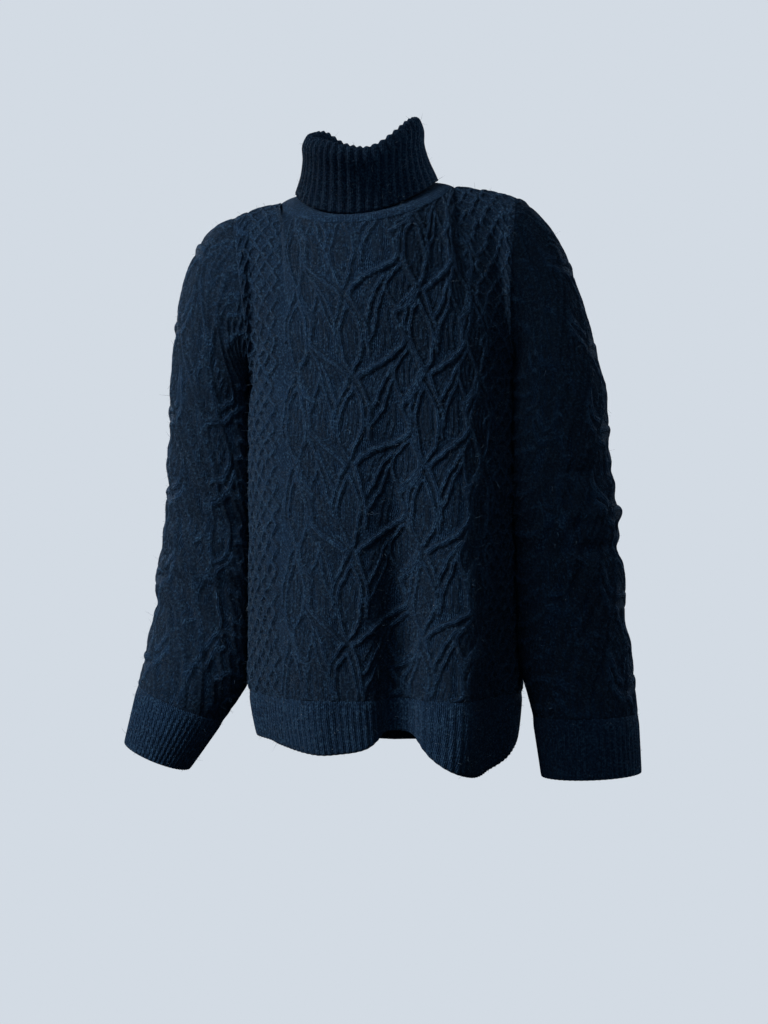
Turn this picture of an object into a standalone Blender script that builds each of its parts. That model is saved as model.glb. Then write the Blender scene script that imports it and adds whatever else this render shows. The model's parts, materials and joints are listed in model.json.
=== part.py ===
"""A cable knit turtleneck, hollow, in the form it takes when it is worn.

Metres, +Z up. The front faces -Y and the wearer's left is +X. The origin is in the middle of the
neck, level with the shoulders, where the wearer carries the garment.

Every piece is one knitted wall. surface(u, v) gives its outer ground, the chart gives the cables
and ribs that stand out of it, and the inside is plain.
"""

import math
from functools import partial

import bmesh
import bpy
import numpy as np
from mathutils.geometry import delaunay_2d_cdt

# Walls and seams
WALL = 0.003
SEAM = 0.0003
SIDE_CLEARANCE = 0.0040  # between the body and the sleeves that hang beside it

# Body: the tube below the arms, then the chest and shoulders above them
RIB_TOP = -0.552
UNDERARM = -0.200
BODY_ROWS = (
    # height, middle x, half width, front depth, back depth
    (-0.640, 0.028, 0.135, 0.110, 0.106),
    (-0.600, 0.026, 0.1455, 0.119, 0.114),
    (-0.552, 0.024, 0.152, 0.124, 0.117),
    (-0.480, 0.024, 0.152, 0.125, 0.117),
    (-0.380, 0.023, 0.151, 0.122, 0.112),
    (-0.280, 0.022, 0.150, 0.117, 0.108),
    (-0.200, 0.020, 0.149, 0.111, 0.106),
    (-0.100, 0.014, 0.147, 0.106, 0.104),
)
HEM_DROP = (
    # turn from the middle of the front in degrees, height of the hem's lower edge
    (-180, -0.622), (-120, -0.616), (-90, -0.602), (-50, -0.604), (-19, -0.609), (-6, -0.603),
    (6, -0.587), (13, -0.590), (22, -0.614), (40, -0.635), (60, -0.632), (90, -0.604), (130, -0.616),
    (180, -0.622),
)
FOLDS_FULL_AT = -0.600  # height where the folds have their full depth
FOLD_RADIUS = 0.13
BODY_FOLDS = (
    # turn in degrees, half width in degrees, depth at the hem, height where it starts
    (9, 9, -0.020, -0.300),
    (30, 12, 0.012, -0.240),
    (-30, 13, 0.007, -0.330),
    (-62, 10, -0.006, -0.420),
    (60, 9, -0.007, -0.380),
    (150, 12, -0.014, -0.340),
    (-160, 13, 0.010, -0.300),
    (-128, 11, -0.009, -0.360),
)

# Neck edge of the panels, shoulders and armholes
NECK_MIDDLE = (0.004, -0.008)
NECK_HALF_WIDTH = 0.096
NECK_FRONT = 0.084
NECK_BACK = 0.076
NECK_FRONT_HEIGHT = -0.044
NECK_BACK_HEIGHT = 0.014
NECK_SIDE_HEIGHT = -0.001
NECK_FLATNESS = 1.25  # below 2 the neck line stays level further round the front
NECK_CUT = (0.6, 0.8)  # out and up, the slant of the neck seam
SHOULDER_TILT = 0.085  # the wearer's right shoulder is carried lower
SHOULDER_RISE = 0.002
NECK_SHARE = 0.44  # share of a panel's top edge that is neck, the rest is shoulder
SHOULDER_TIPS = {-1: (-0.146, 0.004, -0.022), 1: (0.170, 0.004, -0.003)}
ARMHOLE_FROM = 0.72  # share of a panel's half width where its edge turns to the armhole
CHEST_LEAVES = 0.95  # how straight the chest rises, as a share of the height left
ARMHOLE_LEAVES = (-0.030, 0.20, 0.06)  # inwards, towards the face and up, at the underarm
SHOULDER_ARRIVES = (0, -0.17, 0)
NECK_ARRIVES = (0, -0.07, 0.09)
UPPER_SHARE = 0.38  # share of a panel's rows that lie above the underarm
ARMHOLE_MIDDLE_Z = -0.105
NECK_COLUMNS = 32  # steps round the neck seam, the same on both sides of it
SIDE_MARGIN = 0.0008  # share of a panel's half width left open at its side seam
TOP_SHARE = 0.9988  # a panel stops this short of its top edge

# Sleeves: rings down the arm, -1 is the wearer's right and 1 the left
SLEEVE_ROWS = {
    -1: (
        # height, middle x, middle y, half width, half depth, lean in degrees
        (-0.215, -0.171, 0.018, 0.050, 0.060, 4),
        (-0.300, -0.169, 0.028, 0.058, 0.057, 3),
        (-0.380, -0.173, 0.028, 0.059, 0.055, 5),
        (-0.450, -0.178, 0.022, 0.062, 0.054, 10),
        (-0.510, -0.1845, 0.010, 0.063, 0.053, 18),
        (-0.566, -0.2055, -0.006, 0.052, 0.050, 23),
        (-0.624, -0.2295, -0.022, 0.0385, 0.044, 23),
    ),
    1: (
        (-0.215, 0.2150, -0.014, 0.0525, 0.061, 2),
        (-0.300, 0.2165, -0.022, 0.0575, 0.058, 2),
        (-0.380, 0.2225, -0.026, 0.0605, 0.056, 2),
        (-0.450, 0.2280, -0.030, 0.0612, 0.055, 2),
        (-0.510, 0.2330, -0.036, 0.0612, 0.054, 2),
        (-0.572, 0.2440, -0.044, 0.0565, 0.052, 2),
        (-0.636, 0.2505, -0.048, 0.0530, 0.047, 3),
    ),
}
UNDERARM_EASE = 0.008  # height in which the sleeve comes clear of the body below the seam
CAP_LEAVES = {-1: (0.96, -0.22), 1: (0.80, -0.38)}  # out and up, as a share of the cap's length
CAP_ARRIVES = {-1: (0.08, -0.95), 1: (0.28, -0.88)}
CAP_SHARE = 0.34  # share of a sleeve's rows that is the cap above the first ring
SLEEVE_FOLDS = {
    -1: (
        # share of the way down, half height, depth, turn of its middle in degrees, half turn
        (0.62, 0.022, -0.004, 60, 90),
        (0.72, 0.020, 0.004, 80, 80),
        (0.82, 0.022, -0.005, -20, 100),
    ),
    1: (
        (0.52, 0.018, -0.004, 20, 80),
        (0.60, 0.016, 0.004, 10, 90),
        (0.67, 0.016, -0.005, 20, 100),
        (0.82, 0.024, -0.004, -30, 90),
    ),
}

# Collar and neck band
COLLAR_MIDDLE = (0.0, -0.012)
COLLAR_RIM = (
    # degrees from the front, height of the folded rim
    (-180, 0.064), (-155, 0.068), (-130, 0.078), (-105, 0.072), (-80, 0.063), (-55, 0.056), (-25, 0.046),
    (0, 0.039), (20, 0.045), (40, 0.060), (60, 0.075), (80, 0.082), (110, 0.078), (140, 0.068), (180, 0.064),
)
COLLAR_FOOT_FRONT = -0.033
COLLAR_FOOT_SIDE = 0.006
COLLAR_FOOT_BACK = 0.019
COLLAR_TILT = 0.006
COLLAR_PATH = (
    # radius and share of the height from the foot to the rim, up the stand and down the fall
    (0.0575, 0.0), (0.0550, 0.40), (0.0552, 0.86), (0.0602, 1.0), (0.0652, 0.88),
    (0.0655, 0.60), (0.0678, 0.33), (0.0738, 0.04),
)
FALL_FROM = 0.62  # where along the path the fall starts to spread
FALL_FLARE = 0.11  # how much wider its lower edge is on the wearer's left
FALL_DROP = 0.04  # how much lower it hangs in front, as a share of the height
BAND_SWELL = (0.018, 0.035)  # how full the band is at the sides and in front
BAND_END = 0.0575  # the band runs in under the collar's foot
COLLAR_DEPTH_SHARE = 0.97

# Knitted relief
REPEAT = 0.093  # height of one repeat of the lattice
AXES = (0.039, 0.101)  # the lattice's upright axes, out from the middle
ROPE = (0.0095, 0.0036)  # width and height of a rope cable
BAND = (0.0065, 0.0024)  # width and height of a travelling band
AXIS_STROKES = (
    # kind, then points: across in metres, down in repeats from the crossing
    (BAND, ((0.0, 0.20), (0.0125, 0.58), (0.0, 0.96))),
    (BAND, ((0.0, 0.20), (-0.0125, 0.58), (0.0, 0.96))),
)
CELL_STROKES = (
    # kind, then points: across as a share of the cell, down in repeats from the crossing
    (ROPE, ((0.08, 0.04), (0.28, -0.08), (0.72, -0.32), (0.76, -0.50))),
    (ROPE, ((0.70, 0.33), (0.90, 0.18), (0.97, 0.04))),
    (BAND, ((0.08, 0.06), (0.26, 0.42), (0.55, -0.10))),
    (BAND, ((0.80, -0.26), (0.60, 0.02), (0.72, 0.28))),
)
HONEYCOMB_FROM = 0.124
HONEYCOMB_LINES = 2
HONEYCOMB_PITCH = 0.020
HONEYCOMB_SWING = 0.0055
HONEYCOMB_PERIOD = 0.062
EDGE_FADE = 0.007
GROUND_ROOM = 0.010  # between a stroke and the nearest point that only follows the form
# steps across and up: round the edge, over the plain inside, and outside where no stroke passes
PANEL_GRIDS = ((18, 18), (11, 9), (13, 12))
SLEEVE_GRIDS = ((16, 18), (8, 8), (12, 14))
PANEL_PHASE = 0.074  # from the top edge down to the first crossing
PANEL_SHIFT = (0.007, 0.017)  # the lattice lies to the wearer's left, at the foot and at the top
SLEEVE_PHASE = 0.050
MERGE = 0.0020  # points of a wall nearer than this are one
RIB_PITCH = 0.0102
RIB_HEIGHT = 0.0020
HEM_STEPS = ((0.0, 0.4), (0.12, 1), (1.0, 0.8))  # share of the way down, share of the rib's height
CUFF_STEPS = ((0.0, 0.4), (0.12, 1), (1.0, 0.8))
BAND_STEPS = ((0.0, 0), (0.25, 0), (0.5, 0), (0.75, 0), (1.0, 0))
COLLAR_STEPS = ((0.0, 0), (0.2, 0), (0.4, 0.3), (0.46, 1), (0.53, 1), (0.74, 1), (1.0, 0.8))

MATERIALS = {
    "wool_cable": ((0.016, 0.030, 0.062), 0.93),
    "wool_rib": ((0.014, 0.026, 0.056), 0.93),
}


def smoothstep(x):
    x = np.clip(x, 0.0, 1.0)
    return x * x * (3.0 - 2.0 * x)


def read_rows(rows, key):
    """The columns after the first, at each key: a smooth curve through the rows."""
    table = np.array(sorted(map(tuple, rows)), float)
    knots, values = table[:, 0], table[:, 1:]
    slopes = np.gradient(values, knots, axis=0)
    key = np.clip(np.asarray(key, float), knots[0], knots[-1])
    at = np.clip(np.searchsorted(knots, key, side="right") - 1, 0, len(knots) - 2)
    span = knots[at + 1] - knots[at]
    x = ((key - knots[at]) / span)[..., None]
    span = span[..., None]
    return (
        (1 + 2 * x) * (1 - x) ** 2 * values[at]
        + x * (1 - x) ** 2 * span * slopes[at]
        + x * x * (3 - 2 * x) * values[at + 1]
        + x * x * (x - 1) * span * slopes[at + 1]
    )


def hermite(x, start, start_slope, end, end_slope):
    x = x[..., None]
    return (
        (1 + 2 * x) * (1 - x) ** 2 * start
        + x * (1 - x) ** 2 * start_slope
        + x * x * (3 - 2 * x) * end
        + x * x * (x - 1) * end_slope
    )


def stack(x, y, z):
    return np.stack(np.broadcast_arrays(x, y, z), axis=-1).astype(float)


# ---------------------------------------------------------------- body


def body_ring(turn, z):
    """A point of the tube below the arms. turn is in degrees, 0 in front and 90 at the wearer's left."""
    middle, half_width, front, back = np.moveaxis(read_rows(BODY_ROWS, z), -1, 0)
    angle = np.radians(turn)
    depth = np.where(np.abs(turn) <= 90, front, back)
    out = np.zeros_like(angle)
    for at, half, height, start in BODY_FOLDS:
        away = (turn - at + 180) % 360 - 180
        out += height * np.exp(-((away / half) ** 2)) * smoothstep((start - z) / (start - FOLDS_FULL_AT))
    swell = 1.0 + out / FOLD_RADIUS
    return stack(middle + half_width * swell * np.sin(angle), -depth * swell * np.cos(angle), z)


def neck_edge(angle):
    """The panels' neck edge. angle is in degrees, 0 in front and 90 at the wearer's left."""
    across, ahead = np.sin(np.radians(angle)), np.cos(np.radians(angle))
    depth = np.where(ahead >= 0, NECK_FRONT, NECK_BACK)
    end = np.where(ahead >= 0, NECK_FRONT_HEIGHT, NECK_BACK_HEIGHT)
    x = NECK_MIDDLE[0] + NECK_HALF_WIDTH * across
    z = NECK_SIDE_HEIGHT + (end - NECK_SIDE_HEIGHT) * np.abs(ahead) ** NECK_FLATNESS + SHOULDER_TILT * x
    return stack(x, NECK_MIDDLE[1] - depth * ahead, z)


def neck_spoke(points):
    """The way in which the panels' and the band's walls are cut at the neck seam."""
    out = (points - np.array((*NECK_MIDDLE, 0))) * np.array((1, 1, 0))
    out /= np.linalg.norm(out, axis=-1)[..., None]
    return out * NECK_CUT[0] + np.array((0, 0, NECK_CUT[1]))


def panel_top(face, u):
    """The top edge of the front (face -1) or back (face 1): shoulder, neck, shoulder."""
    side = np.where(u < 0, -1, 1)
    share = np.clip(np.abs(u) / NECK_SHARE, 0, 1)
    angle = side * 90 * share
    neck = neck_edge(angle if face < 0 else side * 180 - angle)
    tips = np.where(side[..., None] < 0, SHOULDER_TIPS[-1], SHOULDER_TIPS[1])
    along = np.clip((np.abs(u) - NECK_SHARE) / (1 - NECK_SHARE), 0, 1)[..., None]
    rise = SHOULDER_RISE * np.sin(np.pi * along) * np.array((0, 0, 1))
    return np.where(along > 0, neck_edge(side * 90) * (1 - along) + tips * along + rise, neck)


def panel(face, u, v):
    """The outer ground of the front or back panel, u from -1 to 1 and v from 0 to 1."""
    u, v = np.broadcast_arrays(np.asarray(u, float), np.asarray(v, float))
    turn = 90 * u if face < 0 else np.where(u < 0, -1, 1) * 180 - 90 * u
    low = 1 - UPPER_SHARE
    z = RIB_TOP + (UNDERARM - RIB_TOP) * np.clip(v / low, 0, 1)
    ring = body_ring(turn, z)
    rise = np.clip((v - low) / UPPER_SHARE, 0, 1) * TOP_SHARE
    top = panel_top(face, u)
    gap = np.linalg.norm(top - ring, axis=-1)[..., None]
    side = np.where(u < 0, -1.0, 1.0)
    turned = smoothstep((np.abs(u) - ARMHOLE_FROM) / (1 - ARMHOLE_FROM))[..., None]
    way = stack(side, face, 1)
    start = (1 - turned) * gap * np.array((0, 0, CHEST_LEAVES)) + turned * way * ARMHOLE_LEAVES
    on_neck = smoothstep((NECK_SHARE - np.abs(u)) / (NECK_SHARE / 2))[..., None]
    end = way * ((1 - on_neck) * np.array(SHOULDER_ARRIVES) + on_neck * np.array(NECK_ARRIVES))
    upper = hermite(rise, ring, start, top, end)
    return np.where(rise[..., None] > 0, upper, ring)


def armhole(side, turn):
    """The armhole's edge. turn is in degrees, 0 on the shoulder, 180 under the arm, plus in front."""
    rise = 1 - np.abs(turn) / 180
    v = 1 - UPPER_SHARE + UPPER_SHARE * rise
    u = np.full_like(rise, side)
    return np.where((turn >= 0)[..., None], panel(-1, u, v), panel(1, u, v))


def armhole_spoke(points):
    """The way out from the armhole's middle, in which both walls are cut at this seam."""
    spoke = points * np.array((0, 1, 1)) - np.array((0, 0, ARMHOLE_MIDDLE_Z))
    return spoke / np.linalg.norm(spoke, axis=-1)[..., None]


# ---------------------------------------------------------------- sleeves


def sleeve_ring(side, turn, z):
    """A ring of the sleeve. turn is in degrees, 0 on the outer side, plus in front."""
    x, y, half_width, half_depth, lean = np.moveaxis(read_rows(SLEEVE_ROWS[side], z), -1, 0)
    out = half_width * np.cos(np.radians(turn))
    ahead = half_depth * np.sin(np.radians(turn))
    lean = np.radians(lean)
    return stack(x + side * out * np.cos(lean), y - ahead, z + out * np.sin(np.abs(lean)) * np.sign(lean))


def cuff_spoke(side, points):
    """The way out from the middle of the ring where the cuff begins, in which both walls are cut."""
    row = sorted(SLEEVE_ROWS[side])[1]
    spoke = points - np.array((row[1], row[2], row[0]))
    return spoke / np.linalg.norm(spoke, axis=-1)[..., None]


def clear_of_body(side, points):
    """Points of a sleeve moved outwards until they hang just clear of the body."""
    z = np.clip(points[..., 2], BODY_ROWS[0][0], UNDERARM)
    middle, half_width, front, back = np.moveaxis(read_rows(BODY_ROWS, z), -1, 0)
    depth = np.where(points[..., 1] < 0, front, back) + SIDE_CLEARANCE
    share = np.clip(1 - (points[..., 1] / depth) ** 2, 0, 1) ** 0.5
    wall = middle + side * ((half_width + SIDE_CLEARANCE) * share)
    short = np.where(share > 0, side * (wall - points[..., 0]), -1.0)
    softened = np.where(short > -0.006, (short + 0.006) ** 2 / 0.024, 0)
    short = np.where(short > 0.006, short, softened)
    moved = points.copy()
    moved[..., 0] += side * short * smoothstep((UNDERARM - points[..., 2]) / UNDERARM_EASE)
    return moved


def sleeve(side, u, v):
    """The outer ground of a sleeve, u round from under the arm and v from the armhole to the cuff."""
    u, v = np.broadcast_arrays(np.asarray(u, float), np.asarray(v, float))
    turn = -180 * u
    rows = sorted(SLEEVE_ROWS[side], reverse=True)
    first, last = rows[0][0], rows[-2][0]
    down = np.clip((v - CAP_SHARE) / (1 - CAP_SHARE), 0, 1)
    ring = sleeve_ring(side, turn, first + (last - first) * down)
    edge = armhole(side, turn)
    edge[..., 0] += side * SEAM
    gap = np.linalg.norm(ring - edge, axis=-1)[..., None]
    under = smoothstep((np.abs(turn) - 90) / 90)[..., None]
    out, up = CAP_LEAVES[side]
    over_arm, under_arm = np.array((out * side, 0, up)), np.array((0.9 * side, 0, -0.5))
    leave = gap * ((1 - under) * over_arm + under * under_arm)
    out, up = CAP_ARRIVES[side]
    arrive = gap * np.array((out * side, 0, up))
    cap = hermite(np.clip(v / CAP_SHARE, 0, 1), edge, leave, ring, arrive)
    ring = np.where((v < CAP_SHARE)[..., None], cap, ring)
    middle = np.array((rows[0][1], rows[0][2], 0))
    out = (ring - middle) * np.array((1, 1, 0))
    out /= np.linalg.norm(out, axis=-1)[..., None] + 1e-9
    for at, half, depth, where, spread in SLEEVE_FOLDS[side]:
        away = (turn - where + 180) % 360 - 180
        wave = np.exp(-(((v - at) / half) ** 2) - (away / spread) ** 2)
        ring = ring + out * (depth * wave)[..., None]
    return clear_of_body(side, ring)


def cuff(side, u, v):
    turn = -180 * np.asarray(u, float)
    rows = sorted(SLEEVE_ROWS[side])
    low, high = rows[0][0], rows[1][0]
    top = sleeve(side, u, np.ones_like(turn))
    foot = sleeve_ring(side, turn, np.full_like(turn, low))
    v = np.asarray(v, float)
    middle = sleeve_ring(side, turn, np.full_like(turn, (low + high) / 2))
    lean = math.radians(rows[1][5])
    start = top + SEAM * np.array((side * math.sin(lean), 0, -math.cos(lean)))
    return hermite(v, start, (middle - start) * 1.6, foot, (foot - middle) * 1.3)


# ---------------------------------------------------------------- hem, neck band and collar


def hem(face, u, v):
    """The hem rib, v from the panel's foot down to the lower edge."""
    u, v = np.broadcast_arrays(np.asarray(u, float), np.asarray(v, float))
    turn = 90 * u if face < 0 else np.where(u < 0, -1, 1) * 180 - 90 * u
    low = read_rows(HEM_DROP, turn)[..., 0]
    return body_ring(turn, RIB_TOP - SEAM + (low - RIB_TOP + SEAM) * v)


def collar_foot(angle):
    ahead = np.cos(np.radians(angle))
    end = np.where(ahead >= 0, COLLAR_FOOT_FRONT, COLLAR_FOOT_BACK)
    low = COLLAR_FOOT_SIDE + (end - COLLAR_FOOT_SIDE) * np.abs(ahead) ** NECK_FLATNESS
    return low + COLLAR_TILT * np.sin(np.radians(angle))


def collar(u, v):
    """The folded collar, u round from the back and v up the stand and down the outer fall."""
    u, v = np.broadcast_arrays(np.asarray(u, float), np.asarray(v, float))
    angle = 180 * u
    foot = collar_foot(angle)
    rim = read_rows(COLLAR_RIM, angle)[..., 0]
    path = np.array(COLLAR_PATH)
    steps = np.concatenate(([0], np.cumsum(np.hypot(*(np.diff(path, axis=0) * (1, 0.075)).T))))
    rows = np.column_stack((steps / steps[-1], path))
    radius, rise = np.moveaxis(read_rows(rows, v), -1, 0)
    across, ahead = np.sin(np.radians(angle)), np.cos(np.radians(angle))
    fallen = smoothstep((v - FALL_FROM) / (1 - FALL_FROM))
    radius = radius * (1 + FALL_FLARE * fallen * np.clip(across, 0, 1) ** 2)
    rise = rise - FALL_DROP * fallen * np.clip(ahead, 0, 1) ** 2
    x = COLLAR_MIDDLE[0] + radius * across
    y = COLLAR_MIDDLE[1] - radius * COLLAR_DEPTH_SHARE * ahead
    return stack(x, y, foot + (rim - foot) * rise)


def neck_band(u, v):
    """The smooth band, u round from the back and v from the neck seam in to the collar."""
    u, v = np.broadcast_arrays(np.asarray(u, float), np.asarray(v, float))
    angle = 180 * u
    edge = neck_edge(angle)
    middle = np.array((*COLLAR_MIDDLE, 0))
    inward = middle - edge * np.array((1, 1, 0))
    inward /= np.linalg.norm(inward, axis=-1)[..., None]
    start = edge + inward * 1.5 * SEAM
    across, ahead = np.sin(np.radians(angle)), np.cos(np.radians(angle))
    end = stack(
        COLLAR_MIDDLE[0] + BAND_END * across,
        COLLAR_MIDDLE[1] - BAND_END * COLLAR_DEPTH_SHARE * ahead,
        collar_foot(angle) - 2.5 * SEAM,
    )
    swell = BAND_SWELL[0] + (BAND_SWELL[1] - BAND_SWELL[0]) * np.clip(ahead, 0, 1) ** 2
    leave = inward * 0.020 + stack(0, 0, swell)
    return hermite(v, start, leave, end, inward * 0.045)


# ---------------------------------------------------------------- the chart


def lattice_strokes(height, phase, shift=(0.0, 0.0)):
    """The cables over a chart of this size, as (kind, points), points across and up in metres."""
    strokes = []
    axes = [-AXES[1], -AXES[0], AXES[0], AXES[1]]
    cells = ((AXES[0], AXES[1]), (-AXES[0], -AXES[1]), (-AXES[0], AXES[0]))
    for row in range(-1, int(height / REPEAT) + 3):
        top = height - phase - row * REPEAT
        aside = shift[0] + (shift[1] - shift[0]) * top / height
        for axis in axes:
            for kind, points in AXIS_STROKES:
                strokes.append((kind, [(aside + axis + x, top - t * REPEAT) for x, t in points]))
        for start, end in cells:
            for kind, points in CELL_STROKES:
                line = [(aside + start + (end - start) * a, top - t * REPEAT) for a, t in points]
                strokes.append((kind, line))
    return strokes


def honeycomb_strokes(start, height, lines, side):
    strokes = []
    for line in range(lines):
        count = int(height / HONEYCOMB_PERIOD * 2) + 2
        swing = HONEYCOMB_SWING if line % 2 else -HONEYCOMB_SWING
        points = []
        for k in range(count):
            across = start + line * HONEYCOMB_PITCH + (swing if k % 2 else -swing)
            points.append((side * across, k * HONEYCOMB_PERIOD / 2))
        strokes.append((BAND, points))
    return strokes


def relief(strokes, at):
    """Height of the knit at the given points of a chart: the highest stroke that passes there."""
    at = np.asarray(at, float)
    height = np.zeros(len(at))
    for (width, rise), points in strokes:
        for a, b in zip(np.array(points[:-1]), np.array(points[1:])):
            step = b - a
            along = np.clip(((at - a) @ step) / (step @ step), 0, 1)
            away = np.linalg.norm(at - a - along[:, None] * step, axis=1)
            height = np.maximum(height, rise * np.clip(1 - away / (width / 2), 0, 1))
    return height


def rails(strokes):
    """The lines that a stroke needs in the mesh: its crest and its two feet."""
    for (width, _), points in strokes:
        points = np.array(points)
        steps = np.diff(points, axis=0)
        steps /= np.linalg.norm(steps, axis=1)[:, None]
        ways = np.vstack((steps[:1], steps[:-1] + steps[1:], steps[-1:]))
        ways /= np.linalg.norm(ways, axis=1)[:, None]
        sideways = np.column_stack((-ways[:, 1], ways[:, 0]))
        for offset in (-width / 2, 0, width / 2):
            yield points + sideways * offset


class Chart:
    """Distances over a surface: across from its middle line and up from its lower edge."""

    COUNT = 81

    def __init__(self, surface):
        self.steps_u = np.linspace(-1, 1, self.COUNT)
        self.steps_v = np.linspace(0, 1, self.COUNT)
        u, v = np.meshgrid(self.steps_u, self.steps_v, indexing="ij")
        points = surface(u, v)
        across = np.linalg.norm(np.diff(points, axis=0), axis=-1)
        self.across = np.concatenate((np.zeros((1, self.COUNT)), np.cumsum(across, axis=0)))
        self.across -= self.across[self.COUNT // 2]
        up = np.linalg.norm(np.diff(points, axis=1), axis=-1)
        self.up = np.concatenate((np.zeros((self.COUNT, 1)), np.cumsum(up, axis=1)), axis=1)
        self.width = np.abs(self.across).max()
        self.height = self.up[self.COUNT // 2, -1]

    def between(self, values, u, v):
        i = np.clip((u + 1) / 2 * (self.COUNT - 1), 0, self.COUNT - 1.001)
        j = np.clip(v * (self.COUNT - 1), 0, self.COUNT - 1.001)
        a, b = i.astype(int), j.astype(int)
        i, j = i - a, j - b
        low = values[a, b] * (1 - i) + values[a + 1, b] * i
        high = values[a, b + 1] * (1 - i) + values[a + 1, b + 1] * i
        return low * (1 - j) + high * j

    def read(self, u, v):
        return np.column_stack((self.between(self.across, u, v), self.between(self.up, u, v)))

    def find(self, points):
        """The u and v of points of the chart. A point past an edge stays past it."""
        u = points[:, 0] / self.width
        v = points[:, 1] / self.height
        for _ in range(25):
            here = self.read(np.clip(u, -1, 1), np.clip(v, 0, 1))
            u = u + 0.8 * (points[:, 0] - here[:, 0]) / self.width
            v = v + 0.8 * (points[:, 1] - here[:, 1]) / self.height
            u, v = np.clip(u, -1.2, 1.2), np.clip(v, -0.2, 1.2)
        return np.column_stack((u, v))


# ---------------------------------------------------------------- meshes


def normals(surface, u, v, closed):
    """Unit normals on the side where dP/du x dP/dv points."""
    step = 1e-3
    if closed:
        u0, u1 = (u - step + 1) % 2 - 1, (u + step + 1) % 2 - 1
    else:
        u0, u1 = np.clip(u - step, -1, 1), np.clip(u + step, -1, 1)
    v0, v1 = np.clip(v - step, 0, 1), np.clip(v + step, 0, 1)
    found = np.cross(surface(u1, v) - surface(u0, v), surface(u, v1) - surface(u, v0))
    return found / (np.linalg.norm(found, axis=-1)[..., None] + 1e-12)


def triangulate(points, edges, size):
    """Triangles over points of the unit chart, with the edges kept."""
    scaled = [(p[0] * size[0], p[1] * size[1]) for p in points]
    found, _, faces, *_ = delaunay_2d_cdt(scaled, edges, [], 0, MERGE)
    back = np.array([(p[0] / size[0], p[1] / size[1]) for p in found])
    return back, faces


def border(columns, rows, low, high, top=None):
    """Points round the unit chart, without repeats, and its edges."""
    across, up = np.linspace(low, high, columns + 1), np.linspace(0, 1, rows + 1)
    top = across if top is None else top
    points = [(x, 0.0) for x in across]
    points += [(high, y) for y in up[1:]]
    points += [(x, 1.0) for x in top[::-1][1:]]
    points += [(low, y) for y in up[::-1][1:-1]]
    return points, [(k, (k + 1) % len(points)) for k in range(len(points))]


def knit(name, surface, strokes, grids, closed=False, flip=False, margin=0.0, rim=None, top=None):
    """A wall on surface: relief outside, plain inside, closed round its edges."""
    chart = Chart(surface)
    low, high = -1 + margin, 1 - margin
    edge_steps, inner, ground = grids
    points, edges = border(*edge_steps, low, high, top)
    inside, fence = list(points), list(edges)
    size = (chart.width, chart.height)
    fence_u, fence_v = 0.002 / chart.width, 0.002 / chart.height
    for rail in rails(strokes):
        placed = chart.find(rail)
        kept = (placed[:, 0] > low + fence_u) & (placed[:, 0] < high - fence_u)
        kept &= (placed[:, 1] > fence_v) & (placed[:, 1] < 1 - fence_v)
        for k, point in enumerate(placed):
            if not kept[k]:
                continue
            points.append(tuple(point))
            if k and kept[k - 1]:
                edges.append((len(points) - 2, len(points) - 1))
    steps = [np.arange(1, count) / count for count in ground]
    spots = np.array([(low + (high - low) * x, y) for x in steps[0] for y in steps[1]])
    near = [((width + GROUND_ROOM, 1.0), line) for (width, _), line in strokes]
    bare = relief(near, chart.read(spots[:, 0], spots[:, 1])) == 0
    points += [tuple(spot) for spot in spots[bare]]
    outer_uv, outer_faces = triangulate(points, edges, size)
    for i in range(1, inner[0]):
        for j in range(1, inner[1]):
            inside.append((low + (high - low) * i / inner[0], j / inner[1]))
    inner_uv, inner_faces = triangulate(inside, fence, size)

    def place(uv, depth):
        u, v = uv[:, 0], uv[:, 1]
        way = normals(surface, u, v, closed) * (-1 if flip else 1)
        base = surface(u, v)
        if rim:
            way = rim(u, v, base, way)
        return base + way * depth[:, None]

    at = chart.read(outer_uv[:, 0], outer_uv[:, 1])
    edge = np.minimum(outer_uv[:, 1], 1 - outer_uv[:, 1]) * chart.height
    if not closed:
        edge = np.minimum(edge, np.minimum(outer_uv[:, 0] - low, high - outer_uv[:, 0]) * chart.width)
    lift = relief(strokes, at) * smoothstep(edge / EDGE_FADE)
    outside = (outer_uv, place(outer_uv, lift), outer_faces)
    inside = (inner_uv, place(inner_uv, np.full(len(inner_uv), -WALL)), inner_faces)
    return shell(name, outside, inside, closed, flip)


def shell(name, outside, inside, closed, flip):
    """The two layers, each as (chart points, places, faces), joined round their shared border."""
    outer_uv, outer, outer_faces = outside
    inner_uv, inner, inner_faces = inside
    bm = bmesh.new()
    top = [bm.verts.new(p) for p in outer]
    under = [bm.verts.new(p) for p in inner]
    for a, b, c in outer_faces:
        bm.faces.new((top[a], top[c], top[b]) if flip else (top[a], top[b], top[c]))
    for a, b, c in inner_faces:
        bm.faces.new((under[a], under[b], under[c]) if flip else (under[a], under[c], under[b]))
    bm.edges.ensure_lookup_table()
    partner = {}
    for k, uv in enumerate(inner_uv):
        partner[round(uv[0], 5), round(uv[1], 5)] = under[k]
    index = {vert: k for k, vert in enumerate(top)}
    for edge in [e for e in bm.edges if len(e.link_faces) == 1 and e.verts[0] in index]:
        a, b = edge.verts
        ua, ub = outer_uv[index[a]], outer_uv[index[b]]
        if closed and abs(ua[0] - ub[0]) < 1e-6:
            continue
        pa = partner[round(ua[0], 5), round(ua[1], 5)]
        pb = partner[round(ub[0], 5), round(ub[1], 5)]
        bm.faces.new((a, b, pb, pa))
    if closed:
        bmesh.ops.remove_doubles(bm, verts=bm.verts, dist=2e-5)
    return finish_mesh(name, bm)


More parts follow.
